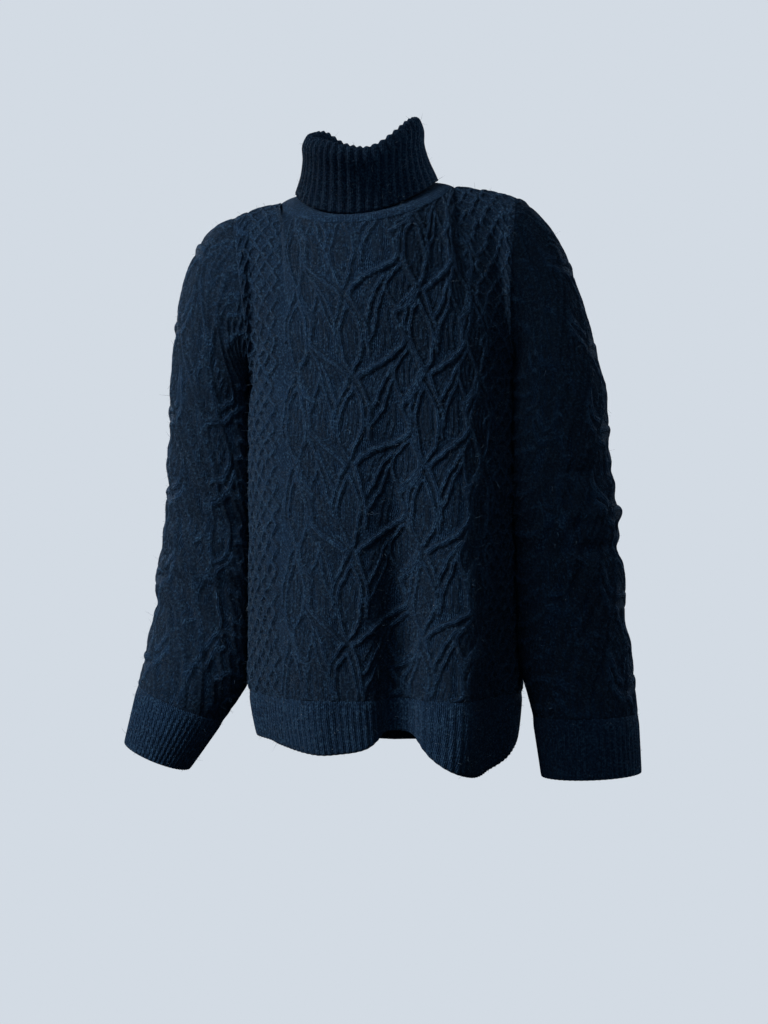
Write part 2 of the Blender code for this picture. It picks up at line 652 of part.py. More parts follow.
def finish_mesh(name, bm):
    bmesh.ops.triangulate(bm, faces=bm.faces)
    bmesh.ops.recalc_face_normals(bm, faces=bm.faces)
    if bm.calc_volume(signed=True) < 0:
        bmesh.ops.reverse_faces(bm, faces=bm.faces)
    mesh = bpy.data.meshes.new(name)
    bm.to_mesh(mesh)
    bm.free()
    mesh.shade_smooth()
    mesh.set_sharp_from_angle(angle=math.radians(50))
    piece = bpy.data.objects.new(name, mesh)
    bpy.context.scene.collection.objects.link(piece)
    return piece


# ---------------------------------------------------------------- pieces


def panel_rim(u, v, ground, way):
    at_neck = (np.abs(u) < NECK_SHARE) & (v > 1 - 1e-4)
    at_armhole = (np.abs(u) > 0.995) & (v > 1 - UPPER_SHARE - 1e-4)
    way = np.where(at_neck[:, None], neck_spoke(ground), way)
    return np.where(at_armhole[:, None], armhole_spoke(ground), way)


def sleeve_rim(side, _, v, ground, way):
    way = np.where((v < 1e-4)[..., None], armhole_spoke(ground), way)
    return np.where((v > 1 - 1e-4)[..., None], cuff_spoke(side, ground), way)


def make_panel(name, face):
    surface = partial(panel, face)
    chart = Chart(surface)
    strokes = lattice_strokes(chart.height, PANEL_PHASE, PANEL_SHIFT)
    for side in (-1, 1):
        strokes += honeycomb_strokes(HONEYCOMB_FROM, chart.height, HONEYCOMB_LINES, side)
    neck = np.linspace(-NECK_SHARE, NECK_SHARE, NECK_COLUMNS // 2 + 1)
    shoulder = np.linspace(NECK_SHARE, 1 - SIDE_MARGIN, 4)[1:]
    top = np.concatenate((-shoulder[::-1], neck, shoulder))
    options = {"flip": face > 0, "margin": SIDE_MARGIN, "rim": panel_rim, "top": top}
    return knit(name, surface, strokes, PANEL_GRIDS, **options)


def make_sleeve(name, side):
    surface = partial(sleeve, side)
    chart = Chart(surface)
    strokes = lattice_strokes(chart.height, SLEEVE_PHASE)
    rim = partial(sleeve_rim, side)
    return knit(name, surface, strokes, SLEEVE_GRIDS, closed=True, flip=side > 0, rim=rim)


def make_rib(name, surface, steps, closed=False, flip=False, plain_columns=0, margin=0.0, rim=None):
    """A band whose upright ribs stand out between the steps of v that say so. Its inside is plain."""
    count = plain_columns or round(2 * Chart(surface).width / RIB_PITCH)
    low, high = -1 + margin, 1 - margin
    columns = plain_columns or 2 * count
    outer_v = np.array([v for v, _ in steps])
    raised = np.array([r for _, r in steps])
    inner_v = outer_v[[0, *range(1, len(outer_v) - 1, 2), -1]]
    bm = bmesh.new()

    def layer(count_u, at_v, depths):
        u, v = np.meshgrid(np.linspace(low, high, count_u + 1), at_v, indexing="ij")
        way = normals(surface, u, v, closed) * (-1 if flip else 1)
        ground = surface(u, v)
        if rim:
            way = np.where((v < 1e-4)[..., None], rim(ground), way)
        points = ground + way * depths[..., None]
        grid = [[bm.verts.new(p) for p in column] for column in points]
        if closed:
            grid[-1] = grid[0]
        return grid

    wave = np.arange(columns + 1) % 2
    outer = layer(columns, outer_v, RIB_HEIGHT * wave[:, None] * raised[None])
    inner = layer(count, inner_v, np.full((count + 1, len(inner_v)), -WALL))
    for grid, turn in ((outer, flip), (inner, not flip)):
        for a, b in zip(grid[:-1], grid[1:]):
            for j in range(len(a) - 1):
                corners = (a[j], b[j], b[j + 1], a[j + 1])
                bm.faces.new(corners[::-1] if turn else corners)
    each = columns // count
    for end in (0, -1):
        for k in range(count):
            run = [outer[k * each + step][end] for step in range(each + 1)]
            bm.faces.new(run + [inner[k + 1][end], inner[k][end]])
    if not closed:
        for end in (0, -1):
            edge = list(outer[end])
            bm.faces.new(edge + list(inner[end])[::-1])
    return finish_mesh(name, bm)


def finish(piece, material_name):
    colour, roughness = MATERIALS[material_name]
    material = bpy.data.materials.get(material_name) or bpy.data.materials.new(material_name)
    material.use_nodes = True
    shader = material.node_tree.nodes["Principled BSDF"]
    shader.inputs["Base Color"].default_value = (*colour, 1.0)
    shader.inputs["Roughness"].default_value = roughness
    shader.inputs["Metallic"].default_value = 0.0
    piece.data.materials.append(material)


def build():
    for thing in list(bpy.data.objects):
        bpy.data.objects.remove(thing)
    for name, face in (("front", -1), ("back", 1)):
        finish(make_panel(name, face), "wool_cable")
    for name, side in (("sleeve_right", -1), ("sleeve_left", 1)):
        finish(make_sleeve(name, side), "wool_cable")
    for name, side in (("cuff_right", -1), ("cuff_left", 1)):
        rim = partial(cuff_spoke, side)
        piece = make_rib(name, partial(cuff, side), CUFF_STEPS, closed=True, flip=side > 0, rim=rim)
        finish(piece, "wool_rib")
    for name, face in (("hem_rib_front", -1), ("hem_rib_back", 1)):
        finish(make_rib(name, partial(hem, face), HEM_STEPS, flip=face < 0, margin=SIDE_MARGIN), "wool_rib")
    options = {"closed": True, "plain_columns": NECK_COLUMNS, "rim": neck_spoke}
    finish(make_rib("neck_band", neck_band, BAND_STEPS, **options), "wool_rib")
    finish(make_rib("collar", collar, COLLAR_STEPS, closed=True, flip=True), "wool_rib")


build()
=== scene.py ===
"""The cable knit turtleneck, with its knit, folds and wool nap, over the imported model.

Metres, +Z up. The front faces -Y, and left and right are the garment's own: +X is its left. Each
cloth piece is a thin closed shell over the same form as its solid: surface(u, v) is the ground, and
a chart of true distances over that ground places the cables, the ribs and the stitches.
"""

import json
import math
from functools import partial

import bmesh
import bpy
import numpy as np
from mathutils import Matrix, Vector

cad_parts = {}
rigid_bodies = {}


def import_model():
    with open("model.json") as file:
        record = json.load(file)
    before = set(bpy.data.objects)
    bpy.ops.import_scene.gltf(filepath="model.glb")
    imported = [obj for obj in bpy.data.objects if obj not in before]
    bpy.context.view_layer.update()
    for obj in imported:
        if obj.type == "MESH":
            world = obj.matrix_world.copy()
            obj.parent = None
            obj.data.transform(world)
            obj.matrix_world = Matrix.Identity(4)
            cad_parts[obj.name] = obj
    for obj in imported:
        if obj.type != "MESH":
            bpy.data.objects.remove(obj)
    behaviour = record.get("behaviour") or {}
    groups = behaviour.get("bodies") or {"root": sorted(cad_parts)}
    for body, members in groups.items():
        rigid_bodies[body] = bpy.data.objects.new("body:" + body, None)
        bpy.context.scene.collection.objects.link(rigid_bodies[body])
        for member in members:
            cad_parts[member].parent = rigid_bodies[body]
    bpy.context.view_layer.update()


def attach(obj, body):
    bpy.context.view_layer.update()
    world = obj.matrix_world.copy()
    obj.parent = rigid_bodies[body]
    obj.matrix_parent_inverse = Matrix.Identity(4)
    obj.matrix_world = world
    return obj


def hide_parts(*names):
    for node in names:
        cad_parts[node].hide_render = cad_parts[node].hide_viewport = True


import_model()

# ---- the form's sizes

# Walls and seams
SEAM = -0.0006  # the shells meet with a little overlap
SIDE_CLEARANCE = 0.0040  # between the body and the sleeves that hang beside it

# Body: the tube below the underarms, then the chest and shoulders above it
RIB_TOP = -0.552
UNDERARM = -0.200
BODY_ROWS = (
    # height, middle x, half width, front depth, back depth
    (-0.640, 0.028, 0.135, 0.110, 0.106),
    (-0.600, 0.026, 0.1455, 0.119, 0.114),
    (-0.552, 0.024, 0.152, 0.124, 0.117),
    (-0.480, 0.024, 0.152, 0.125, 0.117),
    (-0.380, 0.023, 0.151, 0.122, 0.112),
    (-0.280, 0.022, 0.150, 0.117, 0.108),
    (-0.200, 0.020, 0.149, 0.111, 0.106),
    (-0.100, 0.014, 0.147, 0.106, 0.104),
)
HEM_DROP = (
    # turn from the middle of the front in degrees, height of the hem's lower edge
    (-180, -0.622), (-120, -0.616), (-90, -0.602), (-50, -0.604), (-19, -0.609), (-6, -0.603),
    (6, -0.587), (13, -0.590), (22, -0.614), (40, -0.635), (60, -0.632), (90, -0.604), (130, -0.616),
    (180, -0.622),
)
FOLDS_FULL_AT = -0.600  # height where the folds have their full depth
FOLD_RADIUS = 0.13
BODY_FOLDS = (
    # turn in degrees, half width in degrees, depth at the hem, height where it starts
    (9, 9, -0.020, -0.300),
    (30, 12, 0.012, -0.240),
    (-30, 13, 0.007, -0.330),
    (-62, 10, -0.006, -0.420),
    (60, 9, -0.007, -0.380),
    (150, 12, -0.014, -0.340),
    (-160, 13, 0.010, -0.300),
    (-128, 11, -0.009, -0.360),
)

# Neck edge of the panels, shoulders and armholes
NECK_MIDDLE = (0.004, -0.008)
NECK_HALF_WIDTH = 0.096
NECK_FRONT = 0.084
NECK_BACK = 0.076
NECK_FRONT_HEIGHT = -0.044
NECK_BACK_HEIGHT = 0.014
NECK_SIDE_HEIGHT = -0.001
NECK_FLATNESS = 1.25  # below 2 the neck line stays level further round the front
NECK_CUT = (0.6, 0.8)  # out and up, the slant of the neck seam
SHOULDER_TILT = 0.085  # the right shoulder hangs lower
SHOULDER_RISE = 0.002
NECK_SHARE = 0.44  # share of a panel's top edge that is neck, the rest is shoulder
SHOULDER_TIPS = {-1: (-0.146, 0.004, -0.022), 1: (0.170, 0.004, -0.003)}
ARMHOLE_FROM = 0.72  # share of a panel's half width where its edge turns to the armhole
CHEST_LEAVES = 0.95  # how straight the chest rises, as a share of the height left
ARMHOLE_LEAVES = (-0.030, 0.20, 0.06)  # inwards, towards the face and up, at the underarm
SHOULDER_ARRIVES = (0, -0.17, 0)
NECK_ARRIVES = (0, -0.07, 0.09)
UPPER_SHARE = 0.38  # share of a panel's rows that lie above the underarm
ARMHOLE_MIDDLE_Z = -0.105

# Sleeves: rings downwards, -1 is the right sleeve and 1 the left
SLEEVE_ROWS = {
    -1: (
        # height, middle x, middle y, half width, half depth, lean in degrees
        (-0.215, -0.171, 0.018, 0.050, 0.060, 4),
        (-0.300, -0.169, 0.028, 0.058, 0.057, 3),
        (-0.380, -0.173, 0.028, 0.059, 0.055, 5),
        (-0.450, -0.178, 0.022, 0.062, 0.054, 10),
        (-0.510, -0.1845, 0.010, 0.063, 0.053, 18),
        (-0.566, -0.2055, -0.006, 0.052, 0.050, 23),
        (-0.624, -0.2295, -0.022, 0.0385, 0.044, 23),
    ),
    1: (
        (-0.215, 0.2150, -0.014, 0.0525, 0.061, 2),
        (-0.300, 0.2165, -0.022, 0.0575, 0.058, 2),
        (-0.380, 0.2225, -0.026, 0.0605, 0.056, 2),
        (-0.450, 0.2280, -0.030, 0.0612, 0.055, 2),
        (-0.510, 0.2330, -0.036, 0.0612, 0.054, 2),
        (-0.572, 0.2440, -0.044, 0.0565, 0.052, 2),
        (-0.636, 0.2505, -0.048, 0.0530, 0.047, 3),
    ),
}
UNDERARM_EASE = 0.008  # height in which the sleeve comes clear of the body below the seam
SOFT_CONTACT = 0.006  # distance over which a sleeve's side eases off the body
UNDERARM_LEAVES = (0.9, -0.5)  # out and up, as a share of the cap's length at the underarm
CAP_LEAVES = {-1: (0.96, -0.22), 1: (0.80, -0.38)}  # out and up, as a share of the cap's length
CAP_ARRIVES = {-1: (0.08, -0.95), 1: (0.28, -0.88)}
CUFF_BOW = (1.6, 1.3)  # how full the cuff's sides are at the seam and at the edge
CAP_SHARE = 0.34  # share of a sleeve's rows that is the cap above the first ring
SLEEVE_FOLDS = {
    -1: (
        # share of the way down, half height, depth, turn of its middle in degrees, half turn
        (0.62, 0.022, -0.004, 60, 90),
        (0.72, 0.020, 0.004, 80, 80),
        (0.82, 0.022, -0.005, -20, 100),
    ),
    1: (
        (0.52, 0.018, -0.004, 20, 80),
        (0.60, 0.016, 0.004, 10, 90),
        (0.67, 0.016, -0.005, 20, 100),
        (0.82, 0.024, -0.004, -30, 90),
    ),
}

# Collar and neck band
COLLAR_MIDDLE = (0.0, -0.012)
COLLAR_RIM = (
    # degrees from the front, height of the folded rim
    (-180, 0.064), (-155, 0.068), (-130, 0.078), (-105, 0.072), (-80, 0.063), (-55, 0.056),
    (-25, 0.046), (0, 0.039), (20, 0.045), (40, 0.060), (60, 0.075), (80, 0.082),
    (110, 0.078), (140, 0.068), (180, 0.064),
)
COLLAR_FOOT_FRONT = -0.033
COLLAR_FOOT_SIDE = 0.006
COLLAR_FOOT_BACK = 0.019
COLLAR_TILT = 0.006
COLLAR_PATH = (
    # radius and share of the height from the foot to the rim, up the stand and down the fall
    (0.0575, 0.0), (0.0550, 0.40), (0.0552, 0.86), (0.0602, 1.0), (0.0652, 0.88),
    (0.0655, 0.60), (0.0678, 0.33), (0.0738, 0.04),
)
COLLAR_HEIGHT = 0.075
FALL_FROM = 0.62  # where along the path the fall starts to spread
FALL_FLARE = 0.11  # how much wider its lower edge is on the left
FALL_DROP = 0.04  # how much lower it hangs in front, as a share of the height
BAND_SWELL = (0.018, 0.035)  # how full the band is at the sides and in front
BAND_END = 0.0575  # the band runs in under the collar's foot
BAND_GAPS = (1.5, 2.5)  # seams between the band and the neck edge, and below the collar
BAND_LEAVES, BAND_ARRIVES = 0.020, 0.045
COLLAR_DEPTH_SHARE = 0.97

# ---- the knit's sizes

CLOTH = 0.0022  # thickness of the shells under the relief
REPEAT = 0.093  # height of one repeat of the lattice
AXES = (0.039, 0.101)  # the lattice's upright axes, out from the middle
PANEL_PHASE = 0.074  # from the top edge down to the first crossing
SLEEVE_PHASE = 0.050
PANEL_SHIFT = (0.007, 0.017)  # the lattice lies to the left, at the foot and at the top
NO_SHIFT = (0.0, 0.0)
ROPE = (0.0066, 0.0024)  # width and height of a thick rope
SHORT_ROPE = (0.0064, 0.0023)
BAND = (0.0050, 0.0020)  # width and height of a travelling band
THIN_BAND = (0.0044, 0.0017)
FINE = (0.0028, 0.0005)  # width and height of one raised column of stitches
ROUNDNESS = 0.62  # lower makes a rope's section fuller
STROKE_END = (0.55, 1.2)  # height left at a stroke's end, and the widths over which it sinks
UNEVEN_RISE = 0.22  # how much the height of a stroke wanders
UNEVEN_LENGTH = 0.035  # how far apart it swells and sinks
UNEVEN_TURNS = 31  # radians for each metre of the slower wave over it
UNEVEN_STARTS = (2.4, 1.7)  # what these waves gain from one stroke to the next
SWAY = (
    # unevenness of the knitting: metres moved, way it moves as an angle, two wavelengths, start
    (0.0019, 10, 0.210, 0.330, 1.3),
    (0.0013, -20, 0.083, 0.150, 0.4),
    (0.0021, 95, 0.300, 0.130, 0.7),
    (0.0013, 80, 0.190, 0.071, 2.1),
    (0.0009, 30, 0.041, 0.057, 0.9),
    (0.0006, 110, 0.023, 0.019, 2.7),
)
AXIS_STROKES = (
    # kind, then points: across in millimetres, down in hundredths of a repeat from the crossing
    (BAND, 0, 16, 8, 34, 12.5, 58, 8, 82, 0, 100),
    (BAND, 0, 16, -8, 34, -12.5, 58, -8, 82, 0, 100),
    (BAND, 4, 3, 11.5, 24, 17.2, 45, 18, 64),
    (BAND, -4, 3, -11.5, 24, -17.2, 45, -18, 64),
    (FINE, -4.5, 42, -4.5, 76),
    (FINE, 0, 34, 0, 84),
    (FINE, 4.5, 42, 4.5, 76),
)
CELL_STROKES = (
    # kind, then points: hundredths of the cell across, hundredths of a repeat down from the crossing
    (ROPE, 6, 5, 25, -6, 52, -19, 72, -32, 76, -40),
    (THIN_BAND, 75, -38, 73, -48, 66, -62),
    (SHORT_ROPE, 68, 34, 84, 26, 93, 17, 98, 3),
    (BAND, 57, -10, 45, 6, 36, 20, 25, 38),
    (THIN_BAND, 57, 2, 40, 36, 26, 60, 25, 76),
    (THIN_BAND, 78, -28, 90, -12, 94, 0, 86, 14, 70, 29),
    (THIN_BAND, 78, -28, 64, -12, 58, 2, 62, 16, 70, 29),
    (THIN_BAND, 65, 34, 76, 56, 90, 90),
    (FINE, 70, -8, 69, 14),
    (FINE, 78, -14, 77, 16),
    (FINE, 86, -6, 84, 6),
    (FINE, 47, 42, 42, 72),
    (FINE, 56, 30, 52, 70),
    (FINE, 34, -2, 22, 22),
    (FINE, 44, -8, 30, 20),
)
HONEYCOMB_FROM = 0.1235
HONEYCOMB_PITCH = 0.0102
HONEYCOMB_SWING = 0.0039
HONEYCOMB_PERIOD = 0.0225
HONEYCOMB_BAND = (0.0048, 0.0020)
HONEYCOMB_BEND = 0.7  # below 1 the lines swing across more steeply
HONEYCOMB_STRAY = 0.0016  # how far a line of the honeycomb strays
STRAY_LENGTH = 0.053
STRAY_START = 2.1  # what a line's wave gains on the line beside it
HONEYCOMB_PARTS = (8, 24)  # steps in one period, and in one stroke of a line
PANEL_HONEYCOMB = 10  # number of lines on each side
SLEEVE_HONEYCOMB = 8
SHOULDER_SHARE = 0.60  # how bold the honeycomb is at the shoulders beside the body
SLEEVE_SHARE = 0.78  # how bold the sleeves' relief is beside the panels'
GROUND_DROP = 0.0008  # the purl ground lies this much under the form
EDGE_FADE = 0.0035
ARMHOLE_EASE = 0.012  # how much sooner the relief fades beside the armholes
CREASE_FADE = 0.012
CREASE_TAPER = 0.7  # lower keeps a crease deep nearer to its ends
UPPER_EASE = (0.06, 0.12)  # how soon above the underarm ARMHOLE_EASE and SHOULDER_SHARE set in
SHOULDER_REACH = 0.10  # how far the shoulders rise over the middle of a panel's top edge
COLLAR_RIBS, HEM_RIBS, CUFF_RIBS = 46, 70, 52
COLLAR_RIB = 0.0021
COLLAR_RIB_LEAN = 0.006  # share of a turn by which the collar's ribs swing
COLLAR_RIB_WAVE = (1.6, 3.0)  # half turns of that swing up the collar and round it
COLLAR_RIB_START = (0.30, 0.12)  # where the ribs gain their full height, and over what share
LOW_RIB = 0.25  # share of a rib's height inside the collar, and that is lost at the hem's edge
RIB_START = 0.22  # share of a hem or cuff in which its ribs rise
RIB_END = 0.93
HEM_RIB = 0.0012
RIB_SHARPNESS = 0.75

# Creases: three points, each across and up in hundredths of the piece, then the half width and the
# height at the middle in millimetres
PANEL_CREASES = {
    -1: (
        (12, -40, 10, 12, 7, 64, 23, -14),
        (46, -34, 42, 10, 35, 52, 22, 7.5),
        (47, 6, 45, 48, 38, 86, 42, 7.5),
        (-30, -20, -24, 16, -26, 36, 15, 3.5),
        (52, 10, 46, 30, 50, 47, 12, -4.5),
        (97, 58, 80, 64, 62, 75, 12, -5),
        (-97, 58, -80, 66, -66, 78, 12, -5),
        (90, 40, 70, 44, 56, 46, 10, 3),
        (-92, 30, -74, 38, -60, 41, 11, -3.2),
    ),
    1: (
        (-10, 2, -12, 28, -4, 47, 16, -4.6),
        (26, 2, 22, 24, 25, 40, 15, 4.4),
        (97, 57, 78, 63, 60, 72, 12, -4.5),
        (-97, 59, -82, 66, -62, 74, 12, -5.2),
        (-50, 12, -44, 28, -48, 43, 12, -4),
    ),
}
SLEEVE_CREASES = {
    -1: (
        (-62, 50, -30, 47, 5, 49, 11, -2.6),
        (-50, 62, -10, 58.5, 25, 60, 10, -2.8),
        (-55, 66.5, -20, 64, 15, 65.5, 10, 2.2),
        (-70, 73, -30, 70.5, 10, 72, 11, -3.1),
        (-60, 80, -25, 79, 20, 77.5, 10, 2.1),
        (-40, 88, 0, 86.5, 35, 87.5, 10, -2.5),
        (-75, 36, -50, 39, -30, 38, 10, -2.1),
    ),
    1: (
        (-60, 44, -25, 45.5, 10, 44, 9, -2.4),
        (-55, 50.5, -20, 51.5, 20, 50, 9, -2.6),
        (-50, 55, -10, 56.5, 15, 55.5, 9, 2),
        (-62, 61, -25, 60, 20, 61.5, 9, -3),
        (-58, 65.5, -20, 66.5, 12, 65, 8, -2.5),
        (-55, 71.5, -25, 70.5, 15, 72, 9, -2.7),
        (-50, 81, -5, 80, 25, 81.5, 12, -2.2),
        (-75, 36, -55, 38, -35, 37, 10, -2.1),
    ),
}

# Finish
NAVY = (0.0066, 0.0205, 0.0475)
# the dark end of the ground's tone, which is also the painted shade in the knit's hollows
NAVY_DEEP_AND_SHADED = (0.0026, 0.0085, 0.0200)
# the paler nap, which is also the painted highlight on the knit's crests
NAVY_NAP_AND_HIGHLIGHT = (0.0175, 0.0430, 0.0800)
NAVY_FIBRE = (0.0450, 0.0800, 0.1250)
PALE_LINT = (0.30, 0.35, 0.40)
FIBRE_FINISH = (NAVY_FIBRE, 0.8, 0.2)  # colour, roughness, sheen
LINT_FINISH = (PALE_LINT, 0.9, 0.0)
LOOSE_GLOSS = 0.2
MOTTLED_DARK = 0.6
MOTTLED_GRAIN = (90.0, 2.0)
MOTTLED_RANGE = (0.3, 0.7)
GRAINS = ((14.0, 2.0), (90.0, 3.0), (430.0, 4.0), (1500.0, 2.0))  # patches, tufts, fuzz, strands
STITCH_WANDER = 0.0022  # how far a stitch strays
STITCH_SLANT = 1.6  # how steeply a stitch's two legs meet
STITCH_NOTCH = 0.6  # how deep the notch between two stitches of a column is
PAINTED_LIGHT_HEIGHTS = (-0.0010, 0.0016)  # heights of the knit over which the colour turns from painted shade in the hollows to a painted highlight on the crests
# the share of that range at which the painted light and shade is nil
PAINTED_LIGHT_MIDDLE = 0.6
SHADE_PARTS = (0.40, 3.0, 0.8, 0.46)  # of the stitches, the fuzz and the patches, and a base
NAP_PARTS = (1.8, 6.0, 1.1)  # of the tufts and the fuzz, and where the nap, with the painted highlight on the crests, covers all
ROUGHNESS_RANGE = (0.88, 0.10)  # lowest, and what the fuzz adds
WOOLS = {
    # stitch width and height, depth of the stitches, how much paler the crests and darker the hollows
    # are painted: painted highlight and painted shade
    "wool_knit": ((0.0036, 0.0032), 0.0012, 0.28),
    "wool_ribbing": ((0.0040, 0.0033), 0.0010, 0.15),
    "wool_band": ((0.0036, 0.0030), 0.0010, 0.0),
}
WOOL_GLOSS = {
    "Specular IOR Level": 0.05, "Sheen Weight": 0.06,
    "Sheen Roughness": 0.5, "Sheen Tint": (0.35, 0.55, 0.85),
}
FUZZ_DEPTH = 0.0009
STRAND_DEPTH = 0.0004
TUFT_DEPTH = 0.0012
FIBRE_COUNT = 15000
FIBRE_SHARES = {
    "front_panel": 0.40, "back_panel": 0.17, "right_sleeve": 0.20, "left_sleeve": 0.05,
    "folded_collar": 0.05, "front_hem": 0.06, "back_hem": 0.03, "right_cuff": 0.03, "left_cuff": 0.01,
}
EDGE_FIBRE_COUNT = 5500
BODY_EDGE = (0.75, -0.22, 0.03)  # how far it faces sideways, highest and rearmost place
FIBRE_LENGTH = (0.0030, 0.0060)
FIBRE_SHORTEST = 0.5  # share of that length that every fibre has
FIBRE_WIDTH = 0.00026
FIBRE_ROWS = ((0.0, 1.0), (0.38, 0.9), (0.72, 0.7), (1.0, 0.25))  # shares of the length and width
FIBRE_JITTER = 0.0006
FIBRE_ROOT = 0.0008  # how deep a fibre starts in the wool
FIBRE_LEAN = 0.75  # how far the fibres lean from upright
FIBRE_CURL = (0.5, 0.9)  # usual and greatest, as a share of the length
SPECK_COUNT = 130
SPECK_SIZE = (0.00022, 0.00042)
SPECK_STANDS = 0.0012  # how far a speck stands out
SPECKLED = ("front_panel", "right_sleeve", "left_sleeve", "front_hem", "folded_collar")
SEED = 4127

# Steps across and up of the fine outside meshes
PANEL_STEPS = {-1: (275, 340), 1: (190, 250)}
SLEEVE_STEPS = (160, 280)
HEM_STEPS = (HEM_RIBS * 8, 20)
CUFF_STEPS = (CUFF_RIBS * 8, 20)
BAND_STEPS = (160, 12)
COLLAR_STEPS = (COLLAR_RIBS * 10, 60)
AT_EDGE = 1e-4  # places this near to an edge, as a share, are on it
AT_SIDE = 0.005
MERGE_DISTANCE = 2e-5

# Camera and light
CAMERA_TURN = 4.0
CAMERA_SIDE = 0.0224
CAMERA_HEIGHT = -0.353
CAMERA_DISTANCE = 1.9
FILM_HEIGHT = 36.0  # millimetres
FRAME_HEIGHT = 1.147  # what the picture's height covers at the garment
FLOOR = -1.15
COVE_RADIUS = 4.6
COVE_BEND = 1.2
COVE_TOP = 5.0
COVE_STEPS = 48
COVE_BEND_STEPS = 14
COVE_HOLE = 0.01  # radius left open in the middle of its floor and ceiling
PAPER = {
    "Base Color": (0.0, 0.0, 0.0), "Roughness": 1.0, "Specular IOR Level": 0.0,
    "Emission Color": (0.651, 0.708, 0.776), "Emission Strength": 1.0,
}
ROOM_COLOUR = (0.80, 0.90, 1.0)
ROOM_STRENGTH = 0.035
SHADED = ("left_sleeve", "left_cuff")  # pieces that stay in the body's shade
COLLAR = ("folded_collar",)
WINDOW = (-1.96, -1.64, 1.03)
WHITE = (1.0, 1.0, 1.0)
LIGHTS = (
    # name, place, size, power, colour, what it lights or leaves out
    ("window_light", WINDOW, 1.7, 128.0, WHITE, (), SHADED + COLLAR),
    ("window_spill", WINDOW, 1.7, 16.0, (0.85, 0.93, 1.0), SHADED, ()),
    ("collar_light", (-1.62, -0.06, 2.10), 0.5, 48.0, WHITE, COLLAR, ()),
    ("front_fill", (0.5, -2.5, 0.8), 1.6, 12.0, (0.62, 0.84, 1.0), (), ()),
    ("back_left", (-1.8, 1.9, 0.6), 1.2, 60.0, (0.90, 0.96, 1.0), (), ()),
    ("back_right", (1.8, 1.9, 0.6), 1.2, 30.0, (0.80, 0.92, 1.0), (), ()),
    ("side_fill", (2.6, 0.5, 0.5), 1.2, 16.0, (0.80, 0.92, 1.0), (), ()),
)
LIT_PLACE = (0.02, 0.0, -0.30)
# A narrow soft beam on the shaded shoulder, so that the window's light has no hard end at the seam
BEAM_AIM = (0.175, -0.03, -0.10)
BEAM_POWER = 190.0
BEAM = {"spot_size": 0.095, "spot_blend": 1.0, "shadow_soft_size": 0.25}


def smoothstep(x):
    x = np.clip(x, 0.0, 1.0)
    return x * x * (3.0 - 2.0 * x)


def hermite(x, start, start_slope, end, end_slope):
    x = x[..., None]
    return (
        (1 + 2 * x) * (1 - x) ** 2 * start
        + x * (1 - x) ** 2 * start_slope
        + x * x * (3 - 2 * x) * end
        + x * x * (x - 1) * end_slope
    )


def read_rows(rows, key):
    """The columns after the first, at each key: a smooth curve through the rows."""
    table = np.array(sorted(map(tuple, rows)), float)
    knots, values = table[:, 0], table[:, 1:]
    slopes = np.gradient(values, knots, axis=0)
    key = np.clip(np.asarray(key, float), knots[0], knots[-1])
    at = np.clip(np.searchsorted(knots, key, side="right") - 1, 0, len(knots) - 2)
    step = knots[at + 1] - knots[at]
    low, high = (step[..., None] * slopes[row] for row in (at, at + 1))
    return hermite((key - knots[at]) / step, values[at], low, values[at + 1], high)


def stack(x, y, z):
    return np.stack(np.broadcast_arrays(x, y, z), axis=-1).astype(float)


def both(u, v):
    return np.broadcast_arrays(np.asarray(u, float), np.asarray(v, float))


def on_circle(degrees):
    """Sine and cosine."""
    return np.sin(np.radians(degrees)), np.cos(np.radians(degrees))


def unit(vectors):
    return vectors / np.linalg.norm(vectors, axis=-1)[..., None]


# ---- body


def body_ring(turn, z):
    """A point of the tube below the underarms. turn is in degrees, 0 in front and 90 at the left."""
    middle, half_width, front, back = np.moveaxis(read_rows(BODY_ROWS, z), -1, 0)
    across, ahead = on_circle(turn)
    depth = np.where(np.abs(turn) <= 90, front, back)
    out = np.zeros_like(across)
    for at, half, height, start in BODY_FOLDS:
        away = (turn - at + 180) % 360 - 180
        out += height * np.exp(-((away / half) ** 2)) * smoothstep((start - z) / (start - FOLDS_FULL_AT))
    swell = 1.0 + out / FOLD_RADIUS
    return stack(middle + half_width * swell * across, -depth * swell * ahead, z)


def neck_edge(angle):
    """The panels' neck edge. angle is in degrees, 0 in front and 90 at the left."""
    across, ahead = on_circle(angle)
    depth = np.where(ahead >= 0, NECK_FRONT, NECK_BACK)
    end = np.where(ahead >= 0, NECK_FRONT_HEIGHT, NECK_BACK_HEIGHT)
    x = NECK_MIDDLE[0] + NECK_HALF_WIDTH * across
    z = NECK_SIDE_HEIGHT + (end - NECK_SIDE_HEIGHT) * np.abs(ahead) ** NECK_FLATNESS + SHOULDER_TILT * x
    return stack(x, NECK_MIDDLE[1] - depth * ahead, z)


def neck_spoke(points):
    """The way in which the panels' and the band's walls are cut at the neck seam."""
    out = unit((points - np.array((*NECK_MIDDLE, 0))) * np.array((1, 1, 0)))
    return out * NECK_CUT[0] + np.array((0, 0, NECK_CUT[1]))


def panel_top(face, u):
    """The top edge of the front (face -1) or back (face 1): shoulder, neck, shoulder."""
    side = np.where(u < 0, -1, 1)
    share = np.clip(np.abs(u) / NECK_SHARE, 0, 1)
    angle = side * 90 * share
    neck = neck_edge(angle if face < 0 else side * 180 - angle)
    tips = np.where(side[..., None] < 0, SHOULDER_TIPS[-1], SHOULDER_TIPS[1])
    along = np.clip((np.abs(u) - NECK_SHARE) / (1 - NECK_SHARE), 0, 1)[..., None]
    rise = SHOULDER_RISE * np.sin(np.pi * along) * np.array((0, 0, 1))
    return np.where(along > 0, neck_edge(side * 90) * (1 - along) + tips * along + rise, neck)


def half_turn(face, u):
    """The turn at u of the front or back half."""
    return 90 * u if face < 0 else np.where(u < 0, -1, 1) * 180 - 90 * u


